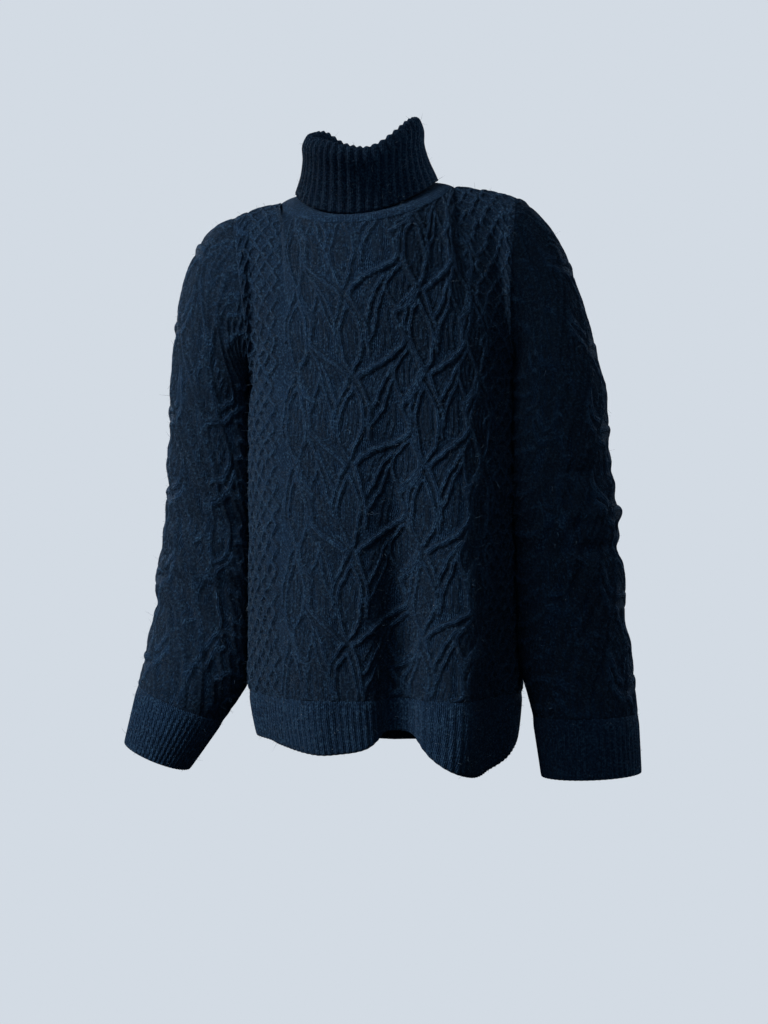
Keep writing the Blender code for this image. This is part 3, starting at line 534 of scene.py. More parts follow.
def panel(face, u, v):
    """The outer ground of the front or back panel, u from -1 to 1 and v from 0 to 1."""
    u, v = both(u, v)
    turn = half_turn(face, u)
    low = 1 - UPPER_SHARE
    z = RIB_TOP + (UNDERARM - RIB_TOP) * np.clip(v / low, 0, 1)
    ring = body_ring(turn, z)
    rise = np.clip((v - low) / UPPER_SHARE, 0, 1)
    top = panel_top(face, u)
    gap = np.linalg.norm(top - ring, axis=-1)[..., None]
    side = np.where(u < 0, -1.0, 1.0)
    turned = smoothstep((np.abs(u) - ARMHOLE_FROM) / (1 - ARMHOLE_FROM))[..., None]
    way = stack(side, face, 1)
    start = (1 - turned) * gap * np.array((0, 0, CHEST_LEAVES)) + turned * way * ARMHOLE_LEAVES
    on_neck = smoothstep((NECK_SHARE - np.abs(u)) / (NECK_SHARE / 2))[..., None]
    end = way * ((1 - on_neck) * np.array(SHOULDER_ARRIVES) + on_neck * np.array(NECK_ARRIVES))
    upper = hermite(rise, ring, start, top, end)
    return np.where(rise[..., None] > 0, upper, ring)


def armhole(side, turn):
    """The armhole's edge. turn is in degrees, 0 on the shoulder, 180 at the underarm, plus in front."""
    rise = 1 - np.abs(turn) / 180
    v = 1 - UPPER_SHARE + UPPER_SHARE * rise
    u = np.full_like(rise, side)
    return np.where((turn >= 0)[..., None], panel(-1, u, v), panel(1, u, v))


def armhole_spoke(points):
    """The way out from the armhole's middle, in which both walls are cut at this seam."""
    return unit(points * np.array((0, 1, 1)) - np.array((0, 0, ARMHOLE_MIDDLE_Z)))


# ---- sleeves


def sleeve_ring(side, turn, z):
    """A ring of the sleeve. turn is in degrees, 0 on the outer side, plus in front."""
    x, y, half_width, half_depth, lean = np.moveaxis(read_rows(SLEEVE_ROWS[side], z), -1, 0)
    ahead, out = on_circle(turn)
    out = half_width * out
    rise, reach = on_circle(lean)
    return stack(x + side * out * reach, y - half_depth * ahead, z + out * rise)


def cuff_spoke(side, points):
    """The way out from the middle of the ring where the cuff begins, in which both walls are cut."""
    row = sorted(SLEEVE_ROWS[side])[1]
    return unit(points - np.array((row[1], row[2], row[0])))


def clear_of_body(side, points):
    """Points of a sleeve moved outwards until they hang just clear of the body."""
    z = np.clip(points[..., 2], BODY_ROWS[0][0], UNDERARM)
    middle, half_width, front, back = np.moveaxis(read_rows(BODY_ROWS, z), -1, 0)
    depth = np.where(points[..., 1] < 0, front, back) + SIDE_CLEARANCE
    share = np.clip(1 - (points[..., 1] / depth) ** 2, 0, 1) ** 0.5
    wall = middle + side * ((half_width + SIDE_CLEARANCE) * share)
    short = np.where(share > 0, side * (wall - points[..., 0]), -1.0)
    softened = np.where(short > -SOFT_CONTACT, (short + SOFT_CONTACT) ** 2 / (4 * SOFT_CONTACT), 0)
    short = np.where(short > SOFT_CONTACT, short, softened)
    moved = points.copy()
    moved[..., 0] += side * short * smoothstep((UNDERARM - points[..., 2]) / UNDERARM_EASE)
    return moved


def sleeve(side, u, v):
    """The outer ground of a sleeve, u round from the underarm and v from the armhole to the cuff."""
    u, v = both(u, v)
    turn = -180 * u
    rows = sorted(SLEEVE_ROWS[side], reverse=True)
    first, last = rows[0][0], rows[-2][0]
    down = np.clip((v - CAP_SHARE) / (1 - CAP_SHARE), 0, 1)
    ring = sleeve_ring(side, turn, first + (last - first) * down)
    edge = armhole(side, turn)
    edge[..., 0] += side * SEAM
    gap = np.linalg.norm(ring - edge, axis=-1)[..., None]
    under = smoothstep((np.abs(turn) - 90) / 90)[..., None]
    out, up = CAP_LEAVES[side]
    over_shoulder = np.array((out * side, 0, up))
    out, up = UNDERARM_LEAVES
    leave = gap * ((1 - under) * over_shoulder + under * np.array((out * side, 0, up)))
    out, up = CAP_ARRIVES[side]
    arrive = gap * np.array((out * side, 0, up))
    cap = hermite(np.clip(v / CAP_SHARE, 0, 1), edge, leave, ring, arrive)
    ring = np.where((v < CAP_SHARE)[..., None], cap, ring)
    middle = np.array((rows[0][1], rows[0][2], 0))
    out = unit((ring - middle) * np.array((1, 1, 0)))
    for at, half, depth, where, spread in SLEEVE_FOLDS[side]:
        away = (turn - where + 180) % 360 - 180
        wave = np.exp(-(((v - at) / half) ** 2) - (away / spread) ** 2)
        ring = ring + out * (depth * wave)[..., None]
    return clear_of_body(side, ring)


def cuff(side, u, v):
    turn = -180 * np.asarray(u, float)
    rows = sorted(SLEEVE_ROWS[side])
    low, high = rows[0][0], rows[1][0]
    top = sleeve(side, u, np.ones_like(turn))
    foot = sleeve_ring(side, turn, np.full_like(turn, low))
    v = np.asarray(v, float)
    middle = sleeve_ring(side, turn, np.full_like(turn, (low + high) / 2))
    lean = math.radians(rows[1][5])
    start = top + SEAM * np.array((side * math.sin(lean), 0, -math.cos(lean)))
    return hermite(v, start, (middle - start) * CUFF_BOW[0], foot, (foot - middle) * CUFF_BOW[1])


# ---- hem, neck band and collar


def hem(face, u, v):
    """The hem rib, v from the panel's foot down to the lower edge."""
    u, v = both(u, v)
    turn = half_turn(face, u)
    low = read_rows(HEM_DROP, turn)[..., 0]
    return body_ring(turn, RIB_TOP - SEAM + (low - RIB_TOP + SEAM) * v)


def collar_foot(angle):
    across, ahead = on_circle(angle)
    end = np.where(ahead >= 0, COLLAR_FOOT_FRONT, COLLAR_FOOT_BACK)
    low = COLLAR_FOOT_SIDE + (end - COLLAR_FOOT_SIDE) * np.abs(ahead) ** NECK_FLATNESS
    return low + COLLAR_TILT * across


def collar(u, v):
    """The folded collar, u round from the back and v up the stand and down the outer fall."""
    u, v = both(u, v)
    angle = 180 * u
    foot = collar_foot(angle)
    rim = read_rows(COLLAR_RIM, angle)[..., 0]
    path = np.array(COLLAR_PATH)
    steps = np.concatenate(([0], np.cumsum(np.hypot(*(np.diff(path, axis=0) * (1, COLLAR_HEIGHT)).T))))
    rows = np.column_stack((steps / steps[-1], path))
    radius, rise = np.moveaxis(read_rows(rows, v), -1, 0)
    across, ahead = on_circle(angle)
    fallen = smoothstep((v - FALL_FROM) / (1 - FALL_FROM))
    radius = radius * (1 + FALL_FLARE * fallen * np.clip(across, 0, 1) ** 2)
    rise = rise - FALL_DROP * fallen * np.clip(ahead, 0, 1) ** 2
    x = COLLAR_MIDDLE[0] + radius * across
    y = COLLAR_MIDDLE[1] - radius * COLLAR_DEPTH_SHARE * ahead
    return stack(x, y, foot + (rim - foot) * rise)


def neck_band(u, v):
    """The smooth band, u round from the back and v from the neck seam in to the collar."""
    u, v = both(u, v)
    angle = 180 * u
    edge = neck_edge(angle)
    middle = np.array((*COLLAR_MIDDLE, 0))
    inward = unit(middle - edge * np.array((1, 1, 0)))
    start = edge + inward * BAND_GAPS[0] * SEAM
    across, ahead = on_circle(angle)
    end = stack(
        COLLAR_MIDDLE[0] + BAND_END * across,
        COLLAR_MIDDLE[1] - BAND_END * COLLAR_DEPTH_SHARE * ahead,
        collar_foot(angle) - BAND_GAPS[1] * SEAM,
    )
    swell = BAND_SWELL[0] + (BAND_SWELL[1] - BAND_SWELL[0]) * np.clip(ahead, 0, 1) ** 2
    leave = inward * BAND_LEAVES + stack(0, 0, swell)
    return hermite(v, start, leave, end, inward * BAND_ARRIVES)


class Chart:
    """Distances over a surface: across from its middle line and up from its lower edge."""

    COUNT = 161

    def __init__(self, surface):
        self.steps_u = np.linspace(-1, 1, self.COUNT)
        self.steps_v = np.linspace(0, 1, self.COUNT)
        u, v = np.meshgrid(self.steps_u, self.steps_v, indexing="ij")
        points = surface(u, v)
        across = np.linalg.norm(np.diff(points, axis=0), axis=-1)
        self.across = np.concatenate((np.zeros((1, self.COUNT)), np.cumsum(across, axis=0)))
        self.across -= self.across[self.COUNT // 2]
        up = np.linalg.norm(np.diff(points, axis=1), axis=-1)
        self.up = np.concatenate((np.zeros((self.COUNT, 1)), np.cumsum(up, axis=1)), axis=1)
        self.width = np.abs(self.across).max()
        self.height = self.up[self.COUNT // 2, -1]

    def between(self, values, u, v):
        i = np.clip((u + 1) / 2 * (self.COUNT - 1), 0, self.COUNT - 1.001)
        j = np.clip(v * (self.COUNT - 1), 0, self.COUNT - 1.001)
        a, b = i.astype(int), j.astype(int)
        i, j = i - a, j - b
        low = values[a, b] * (1 - i) + values[a + 1, b] * i
        high = values[a, b + 1] * (1 - i) + values[a + 1, b + 1] * i
        return low * (1 - j) + high * j

    def read(self, u, v):
        return np.column_stack((self.between(self.across, u, v), self.between(self.up, u, v)))


def normals(surface, u, v, closed):
    """Unit normals on the side where dP/du x dP/dv points."""
    step = 1e-3
    if closed:
        u0, u1 = (u - step + 1) % 2 - 1, (u + step + 1) % 2 - 1
    else:
        u0, u1 = np.clip(u - step, -1, 1), np.clip(u + step, -1, 1)
    v0, v1 = np.clip(v - step, 0, 1), np.clip(v + step, 0, 1)
    found = np.cross(surface(u1, v) - surface(u0, v), surface(u, v1) - surface(u, v0))
    return found / (np.linalg.norm(found, axis=-1)[..., None] + 1e-12)


# ---- the knit


def smooth_line(points, parts=6):
    """A smooth line through the points."""
    points = np.array(points, float)
    knots = np.linspace(0, 1, len(points))
    rows = np.column_stack((knots, points))
    return read_rows(rows, np.linspace(0, 1, (len(points) - 1) * parts + 1))


def lattice_strokes(height, phase, shift):
    """The cables over a chart of this height, as (kind, points), across and up in metres."""
    strokes = []
    axes = (-AXES[1], -AXES[0], AXES[0], AXES[1])
    cells = ((AXES[0], AXES[1]), (-AXES[0], -AXES[1]), (-AXES[0], AXES[0]))
    for row in range(-2, int(height / REPEAT) + 3):
        top = height - phase - row * REPEAT
        for axis in axes:
            for kind, *points in AXIS_STROKES:
                line = np.reshape(points, (-1, 2)) / (1000, 100) * (1, -REPEAT) + (axis, top)
                strokes.append((kind, smooth_line(line)))
        for start, end in cells:
            for kind, *points in CELL_STROKES:
                line = np.reshape(points, (-1, 2)) / 100 * (end - start, -REPEAT) + (start, top)
                strokes.append((kind, smooth_line(line)))
    for _, line in strokes:
        line[:, 0] += shift[0] + (shift[1] - shift[0]) * line[:, 1] / height
    return strokes


def honeycomb_strokes(height, lines):
    strokes = []
    in_period, in_stroke = HONEYCOMB_PARTS
    steps = np.arange(0, height + SHOULDER_REACH, HONEYCOMB_PERIOD / in_period)
    wave = np.cos(2 * np.pi * steps / HONEYCOMB_PERIOD)
    wave = np.sign(wave) * np.abs(wave) ** HONEYCOMB_BEND
    for side in (-1, 1):
        for line in range(lines):
            swing = HONEYCOMB_SWING if line % 2 else -HONEYCOMB_SWING
            turn = steps * 2 * np.pi / STRAY_LENGTH + line * STRAY_START + side
            stray = HONEYCOMB_STRAY * np.sin(turn)
            across = HONEYCOMB_FROM + line * HONEYCOMB_PITCH + swing * wave + stray
            points = np.column_stack((side * across, steps))
            for first in range(0, len(steps) - 1, in_stroke):
                strokes.append((HONEYCOMB_BAND, points[first : first + in_stroke + 1]))
    return strokes


def nearest_on(line, at):
    """Distance to a line, signed by its side, and the distance along it to the nearest place."""
    start, step = line[:-1], np.diff(line, axis=0)
    length = np.linalg.norm(step, axis=1)
    offset = at[:, None] - start[None]
    share = np.clip((offset * step).sum(-1) / length**2, 0, 1)
    away = offset - share[..., None] * step
    distance = np.linalg.norm(away, axis=-1)
    best = distance.argmin(axis=1)
    pick = np.arange(len(at))
    side = np.sign(step[best, 0] * away[pick, best, 1] - step[best, 1] * away[pick, best, 0])
    run = np.concatenate(([0], np.cumsum(length)))
    return distance[pick, best], side, run[best] + share[pick, best] * length[best], run[-1]


def sway(at):
    """The chart's points, moved a little: no cable runs quite straight."""
    moved = at.copy()
    for size, angle, length, other, start in SWAY:
        wave = np.sin(2 * np.pi * (at[:, 1] / length + at[:, 0] / other) + start)
        way = np.array((math.cos(math.radians(angle)), math.sin(math.radians(angle))))
        moved += size * wave[:, None] * way
    return moved


def relief(strokes, at):
    """Height of the knit at points of a chart, and the stitches' own coordinates there."""
    height = np.zeros(len(at))
    stitch = at.copy()
    for number, ((width, rise), line) in enumerate(strokes):
        reach = width / 2
        low, high = line.min(axis=0) - reach, line.max(axis=0) + reach
        near = np.flatnonzero(((at > low) & (at < high)).all(axis=1))
        if not len(near):
            continue
        distance, side, along, total = nearest_on(line, at[near])
        share = np.clip(1 - (distance / reach) ** 2, 0, 1)
        ends = np.sqrt(np.clip(np.minimum(along, total - along) / (STROKE_END[1] * width), 0, 1))
        first, second = (number * start for start in UNEVEN_STARTS)
        wander = np.sin(along * 2 * np.pi / UNEVEN_LENGTH + first)
        wander *= np.sin(second + along * UNEVEN_TURNS)
        ends = STROKE_END[0] + (1 - STROKE_END[0]) * ends
        lift = rise * share**ROUNDNESS * ends * (1 + UNEVEN_RISE * wander)
        over = lift > height[near]
        height[near[over]] = lift[over]
        stitch[near[over]] = np.column_stack((side * distance, along))[over]
    return height, stitch


def crease_height(creases, chart, at):
    """Soft troughs and ridges from the given list, each fading towards its ends."""
    height = np.zeros(len(at))
    for *points, half, rise in creases:
        ends = np.reshape(points, (3, 2)) / 100 * (chart.width, chart.height)
        distance, _, along, total = nearest_on(smooth_line(ends, 8), at)
        fade = np.sin(np.pi * np.clip(along / total, 0.001, 0.999)) ** CREASE_TAPER
        height += rise / 1000 * np.exp(-((distance * 1000 / half) ** 2)) * fade
    return height


def no_creases(at):
    return np.zeros(len(at))


def ribs(share, count):
    """Upright ribs, share runs from 0 to 1 round or across the piece."""
    wave = 0.5 + 0.5 * np.cos(2 * np.pi * share * count)
    return wave**RIB_SHARPNESS


# ---- meshes

PIECES = {}


def mesh_from(bm, name):
    mesh = bpy.data.meshes.new(name)
    bm.to_mesh(mesh)
    bm.free()
    return mesh


def in_scene(name, data):
    made = bpy.data.objects.new(name, data)
    bpy.context.scene.collection.objects.link(made)
    return made


def grid_points(bm, steps):
    """The verts of a new grid as {(i, j): vert}."""
    columns, rows = steps
    made = bmesh.ops.create_grid(bm, x_segments=columns, y_segments=rows, size=1.0)["verts"]
    return {
        (round((vert.co.x + 1) / 2 * columns), round((vert.co.y + 1) / 2 * rows)): vert
        for vert in made
    }


def stitch_edges(bm, outer, inner, steps, each, closed):
    """Faces that join the borders of the two grids, each inner step beside a run of outer ones."""
    columns, rows = steps
    for j_outer, j_inner in ((0, 0), (rows, rows // each)):
        for k in range(columns // each):
            run = [outer[k * each + step, j_outer] for step in range(each + 1)]
            bm.faces.new(run + [inner[k + 1, j_inner], inner[k, j_inner]])
    if closed:
        return
    for i_outer, i_inner in ((0, 0), (columns, columns // each)):
        for k in range(rows // each):
            run = [outer[i_outer, k * each + step] for step in range(each + 1)]
            bm.faces.new(run + [inner[i_inner, k + 1], inner[i_inner, k]])


def cloth(name, node, surface, steps, lift_of, material, each=5, closed=False, flip=False, rim=None):
    """A closed shell over surface. lift_of gives the creases, the knit's height and its stitches."""
    columns, rows = steps
    assert columns % each == 0 and rows % each == 0

    def place(u, v, depth):
        way = normals(surface, u, v, closed) * (-1 if flip else 1)
        base = surface(u, v)
        if rim:
            way = rim(u, v, base, way)
        return base + way * depth[:, None]

    bm = bmesh.new()
    outer = grid_points(bm, steps)
    inner = grid_points(bm, (columns // each, rows // each))
    u, v = (np.array(list(outer)) / steps * (2, 1) - (1, 0)).T
    crease, lift, stitch = lift_of(u, v)
    for vert, point in zip(outer.values(), place(u, v, crease + lift)):
        vert.co = point
    u, v = (np.array(list(inner)) * each / steps * (2, 1) - (1, 0)).T
    for vert, point in zip(inner.values(), place(u, v, lift_of(u, v)[0] - CLOTH)):
        vert.co = point
    stitch_edges(bm, outer, inner, steps, each, closed)
    bm.verts.index_update()
    knit_height = np.zeros(len(bm.verts))
    knit_place = np.zeros((len(bm.verts), 2))
    for vert, height, spot in zip(outer.values(), lift, stitch):
        knit_height[vert.index] = height
        knit_place[vert.index] = spot
    mesh = mesh_from(bm, name)
    mesh.attributes.new("knit_height", "FLOAT", "POINT").data.foreach_set("value", knit_height)
    corner = np.zeros(len(mesh.loops), int)
    mesh.loops.foreach_get("vertex_index", corner)
    mesh.uv_layers.new(name="stitches").data.foreach_set("uv", knit_place[corner].ravel())
    bm = bmesh.new()
    bm.from_mesh(mesh)
    if closed:
        bmesh.ops.remove_doubles(bm, verts=bm.verts, dist=MERGE_DISTANCE)
    bmesh.ops.recalc_face_normals(bm, faces=bm.faces)
    if bm.calc_volume(signed=True) < 0:
        bmesh.ops.reverse_faces(bm, faces=bm.faces)
    bm.to_mesh(mesh)
    bm.free()
    mesh.shade_smooth()
    mesh.materials.append(material)
    piece = PIECES[name] = in_scene(name, mesh)
    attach(piece, "root")
    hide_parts(node)


def edge_share(chart, u, v):
    """0 on the piece's edges and seams, 1 away from them."""
    side = np.minimum(u + 1, 1 - u) * chart.width
    end = np.minimum(v, 1 - v) * chart.height
    ease = ARMHOLE_EASE * smoothstep((v - 1 + UPPER_SHARE) / UPPER_EASE[0])
    return smoothstep(end / EDGE_FADE) * smoothstep(side / (EDGE_FADE + ease))


def crease_share(chart, u, v):
    """Creases run on into the hem, and end at the other edges."""
    edge = np.minimum((1 - v) * chart.height, np.minimum(u + 1, 1 - u) * chart.width)
    return smoothstep(edge / CREASE_FADE)


def lattice_lift(surface, strokes, bold, creases, u, v):
    """The outside of a panel or sleeve: creases in the form, then the knit over them."""
    chart = Chart(surface)
    at = chart.read(u, v)
    height, stitch = relief(strokes, sway(at))
    fade = edge_share(chart, u, v)
    outside = smoothstep((np.abs(at[:, 0]) - AXES[1]) / (HONEYCOMB_FROM - AXES[1]))
    high = smoothstep((v - 1 + UPPER_SHARE) / UPPER_EASE[1])
    height = height * bold * (1 - (1 - SHOULDER_SHARE) * outside * high) - GROUND_DROP * (height <= 0)
    return creases(at) * crease_share(chart, u, v), height * fade, stitch


def rib_lift(surface, count, rise, raised, creases, u, v):
    """The outside of a ribbed piece. raised gives the share of the ribs' height at each v."""
    chart = Chart(surface)
    at = chart.read(u, v)
    side = smoothstep(np.minimum(u + 1, 1 - u) * chart.width / CREASE_FADE)
    return creases(at * (1, -1)) * side, rise * ribs((u + 1) / 2, count) * raised(v), at


def collar_lift(surface, u, v):
    chart = Chart(surface)
    up, round_it = COLLAR_RIB_WAVE
    swing = COLLAR_RIB_LEAN * np.sin(math.pi * (up * v + round_it * u)) * v
    return 0 * u, COLLAR_RIB * ribs((u + 1) / 2 + swing, COLLAR_RIBS) * collar_ribs(v), chart.read(u, v)


# ---- materials


class Value:
    """A socket of a node tree, with arithmetic that makes the nodes."""

    def __init__(self, tree, socket):
        self.tree = tree
        self.socket = socket

    def fill(self, node, inputs):
        """Sets or links a node's inputs, by name or number."""
        for key, value in inputs.items():
            if isinstance(value, Value):
                self.tree.links.new(value.socket, node.inputs[key])
            elif node.inputs[key].type == "RGBA":
                node.inputs[key].default_value = (*value, 1.0)
            else:
                node.inputs[key].default_value = value

    def node(self, kind, settings, inputs, output=0):
        """An output of another node of the tree. The node's settings come before its inputs."""
        made = self.tree.nodes.new(kind)
        for name, value in settings.items():
            setattr(made, name, value)
        self.fill(made, inputs)
        return Value(self.tree, made.outputs[output])

    def noise(self, scale, detail):
        place = self.node("ShaderNodeTexCoord", {}, {}, "Object")
        return self.node("ShaderNodeTexNoise", {}, {"Vector": place, "Scale": scale, "Detail": detail})

    def math(self, operation, *others):
        inputs = dict(enumerate((self, *others)))
        return self.node("ShaderNodeMath", {"operation": operation}, inputs)

    def __add__(self, other):
        return self.math("ADD", other)

    __radd__ = __add__

    def __sub__(self, other):
        return self.math("SUBTRACT", other)

    def __rsub__(self, other):
        return (self * -1.0) + other

    def __mul__(self, other):
        return self.math("MULTIPLY", other)

    __rmul__ = __mul__

    def __truediv__(self, other):
        return self * (1.0 / other)

    def blend(self, low, high):
        """low where this is 0 and high where it is 1, for colours."""
        return self.node("ShaderNodeMix", {"data_type": "RGBA"}, {0: self, 6: low, 7: high}, 2)

    def ramp(self, low, high):
        inputs = {"Value": self, "From Min": low, "From Max": high}
        return self.node("ShaderNodeMapRange", {"interpolation_type": "SMOOTHSTEP"}, inputs)


def new_material(name):
    """A material, its shader, and the start of its node tree."""
    material = bpy.data.materials.new(name)
    material.use_nodes = True
    tree = material.node_tree
    return material, tree.nodes["Principled BSDF"], Value(tree, None)


def wool(name, stitch_size, stitch_depth, painted_light_share):
    """Brushed navy wool: stitches as bump, paler nap from the fuzz, and colour set by the knit's height:
    painted shade, darker between the cables, and a painted highlight on their tops.
    """
    material, shader, start = new_material(name)
    patches, tufts, fuzz, strands = (start.noise(*grain) for grain in GRAINS)
    place = start.node("ShaderNodeUVMap", {"uv_map": "stitches"}, {})
    across, up = (start.node("ShaderNodeSeparateXYZ", {}, {0: place}, k) for k in range(2))
    across = across + (tufts - 0.5) * STITCH_WANDER
    up = up + (fuzz - 0.5) * STITCH_WANDER
    column = ((across / stitch_size[0]).math("FRACT") - 0.5).math("ABSOLUTE")
    row = up / stitch_size[1] - column * STITCH_SLANT
    vee = (row * (2 * math.pi)).math("COSINE") * 0.5 + 0.5
    leg = (column * (2 * math.pi)).math("SINE")
    stitches = leg * (vee * STITCH_NOTCH + (1 - STITCH_NOTCH))
    knit_height = start.node("ShaderNodeAttribute", {"attribute_name": "knit_height"}, {}, "Fac")
    # Painted light and shade: the knit's height makes the colour darker in the hollows and paler on the
    # crests.
    painted_light_and_shade = (knit_height.ramp(*PAINTED_LIGHT_HEIGHTS) - PAINTED_LIGHT_MIDDLE) * painted_light_share
    of_stitches, of_fuzz, of_patches, base = SHADE_PARTS
    # the ground's tone: stitches, fuzz and patches, with the painted shade and highlight from the knit's
    # height
    shade = painted_light_and_shade + stitches * of_stitches + (fuzz - 0.5) * of_fuzz + (patches - 0.5) * of_patches + base
    ground = shade.ramp(0.0, 1.0).blend(NAVY_DEEP_AND_SHADED, NAVY)
    of_tufts, of_fuzz, full = NAP_PARTS
    # the nap's paler colour also carries the painted highlight on the crests
    nap = (tufts - 0.5) * of_tufts + (fuzz - 0.5) * of_fuzz + painted_light_and_shade
    colour = nap.ramp(0.0, full).blend(ground, NAVY_NAP_AND_HIGHLIGHT)
    rough = fuzz * ROUGHNESS_RANGE[1] + ROUGHNESS_RANGE[0]
    height = stitches * stitch_depth + fuzz * FUZZ_DEPTH + strands * STRAND_DEPTH + tufts * TUFT_DEPTH
    bump = start.node("ShaderNodeBump", {}, {"Height": height, "Strength": 1.0, "Distance": 1.0})
    start.fill(shader, {"Base Color": colour, "Roughness": rough, "Normal": bump, **WOOL_GLOSS})
    return material


def loose_wool(name, colour, roughness, sheen):
    """The finish of loose fibres or lint, a little mottled."""
    material, shader, start = new_material(name)
    darker = [MOTTLED_DARK * x for x in colour]
    mottled = start.noise(*MOTTLED_GRAIN).ramp(*MOTTLED_RANGE).blend(darker, colour)
    finish = {"Roughness": roughness, "Specular IOR Level": LOOSE_GLOSS, "Sheen Weight": sheen}
    start.fill(shader, {"Base Color": mottled, **finish})
    return material


# ---- pieces


def panel_rim(u, v, ground, way):
    at_neck = (np.abs(u) < NECK_SHARE) & (v > 1 - AT_EDGE)
    at_armhole = (np.abs(u) > 1 - AT_SIDE) & (v > 1 - UPPER_SHARE - AT_EDGE)
    way = np.where(at_neck[:, None], neck_spoke(ground), way)
    return np.where(at_armhole[:, None], armhole_spoke(ground), way)


def sleeve_rim(side, _, v, ground, way):
    way = np.where((v < AT_EDGE)[..., None], armhole_spoke(ground), way)
    return np.where((v > 1 - AT_EDGE)[..., None], cuff_spoke(side, ground), way)


def start_rim(spoke, _, v, ground, way):
    return np.where((v < AT_EDGE)[..., None], spoke(ground), way)


def even_ribs(v):
    return smoothstep(v / RIB_START) * (1 - LOW_RIB * smoothstep((v - RIB_END) / (1 - RIB_END)))


def collar_ribs(v):
    start, ease = COLLAR_RIB_START
    return LOW_RIB + (1 - LOW_RIB) * smoothstep((v - start) / ease)


def no_ribs(v):
    return 0 * v


def make_panels(knit):
    for name, node, face in (("front_panel", "front", -1), ("back_panel", "back", 1)):
        form = partial(panel, face)
        chart = Chart(form)
        strokes = lattice_strokes(chart.height, PANEL_PHASE, PANEL_SHIFT)
        strokes += honeycomb_strokes(chart.height, PANEL_HONEYCOMB)
        creases = partial(crease_height, PANEL_CREASES[face], chart)
        lift = partial(lattice_lift, form, strokes, 1.0, creases)
        cloth(name, node, form, PANEL_STEPS[face], lift, knit, flip=face > 0, rim=panel_rim)


def make_sleeves(knit, rib):
    for name, side in (("right", -1), ("left", 1)):
        options = {"closed": True, "flip": side > 0, "rim": partial(sleeve_rim, side)}
        form = partial(sleeve, side)
        chart = Chart(form)
        strokes = lattice_strokes(chart.height, SLEEVE_PHASE, NO_SHIFT)
        strokes += honeycomb_strokes(chart.height, SLEEVE_HONEYCOMB)
        creases = partial(crease_height, SLEEVE_CREASES[side], chart)
        lift = partial(lattice_lift, form, strokes, SLEEVE_SHARE, creases)
        cloth(f"{name}_sleeve", f"sleeve_{name}", form, SLEEVE_STEPS, lift, knit, **options)
        form = partial(cuff, side)
        lift = partial(rib_lift, form, CUFF_RIBS, HEM_RIB, even_ribs, no_creases)
        options.update(each=4, rim=partial(start_rim, partial(cuff_spoke, side)))
        cloth(f"{name}_cuff", f"cuff_{name}", form, CUFF_STEPS, lift, rib, **options)


def make_ribbing(rib, smooth):
    for name, node, face in (("front_hem", "hem_rib_front", -1), ("back_hem", "hem_rib_back", 1)):
        form = partial(hem, face)
        creases = partial(crease_height, PANEL_CREASES[face], Chart(partial(panel, face)))
        lift = partial(rib_lift, form, HEM_RIBS, HEM_RIB, even_ribs, creases)
        cloth(name, node, form, HEM_STEPS, lift, rib, each=4, flip=face < 0)
    lift = partial(rib_lift, neck_band, 1, 0.0, no_ribs, no_creases)
    options = {"closed": True, "rim": partial(start_rim, neck_spoke)}
    cloth("linked_neck_band", "neck_band", neck_band, BAND_STEPS, lift, smooth, each=4, **options)
    lift = partial(collar_lift, collar)
    cloth("folded_collar", "collar", collar, COLLAR_STEPS, lift, rib, closed=True, flip=True)


def face_samples(piece, count, chance, rng):
    """Places and normals spread over a piece's faces."""
    faces = piece.data.polygons

    def read(key, width):
        values = np.zeros(len(faces) * width)
        faces.foreach_get(key, values)
        return values.reshape(-1, width)

    centre, normal = read("center", 3), read("normal", 3)
    weight = read("area", 1)[:, 0] * chance(centre, normal)
    pick = rng.choice(len(faces), size=count, p=weight / weight.sum())
    jitter = rng.normal(0, FIBRE_JITTER, (count, 3))
    return centre[pick] + jitter - normal[pick] * FIBRE_ROOT, normal[pick]


def everywhere(centre, _):
    return np.ones(len(centre))


def body_edge(centre, normal):
    """The front panel's turn at its sides, where the nap stands against the sleeves."""
    facing, below, ahead = BODY_EDGE
    found = (np.abs(normal[:, 0]) > facing) & (centre[:, 2] < below) & (centre[:, 1] < ahead)
    return found.astype(float) + 1e-9


def make_nap(rng):
    """Loose fibres that stand out of the wool, as thin tapering ribbons in one mesh."""
    kinds = [(name, int(FIBRE_COUNT * share), everywhere) for name, share in FIBRE_SHARES.items()]
    kinds.append(("front_panel", EDGE_FIBRE_COUNT, body_edge))
    found = [face_samples(PIECES[name], number, chance, rng) for name, number, chance in kinds]
    root, way = (np.concatenate(parts) for parts in zip(*found))
    count = len(root)
    way = unit(way + rng.normal(0, FIBRE_LEAN, (count, 3)))
    length = rng.uniform(*FIBRE_LENGTH, count)[:, None] * (FIBRE_SHORTEST + rng.random((count, 1)) ** 2)
    usual, greatest = FIBRE_CURL
    curl = np.clip(rng.normal(0, usual, (count, 3)), -greatest, greatest)
    side = unit(np.cross(way, rng.normal(0, 1, (count, 3))))
    rows = []
    for share_up, width in FIBRE_ROWS:
        centre = root + way * length * share_up + curl * length * share_up**2
        rows += [centre - side * FIBRE_WIDTH * width / 2, centre + side * FIBRE_WIDTH * width / 2]
    points = np.stack(rows, axis=1).reshape(-1, 3)
    quads = np.array([(0, 1, 3, 2), (2, 3, 5, 4), (4, 5, 7, 6)])
    faces = (np.arange(count)[:, None, None] * 8 + quads[None]).reshape(-1, 4)
    mesh = bpy.data.meshes.new("wool_nap")
    mesh.from_pydata(points.tolist(), [], faces.tolist())
    return loose_piece(mesh, loose_wool("wool_fibre", *FIBRE_FINISH))


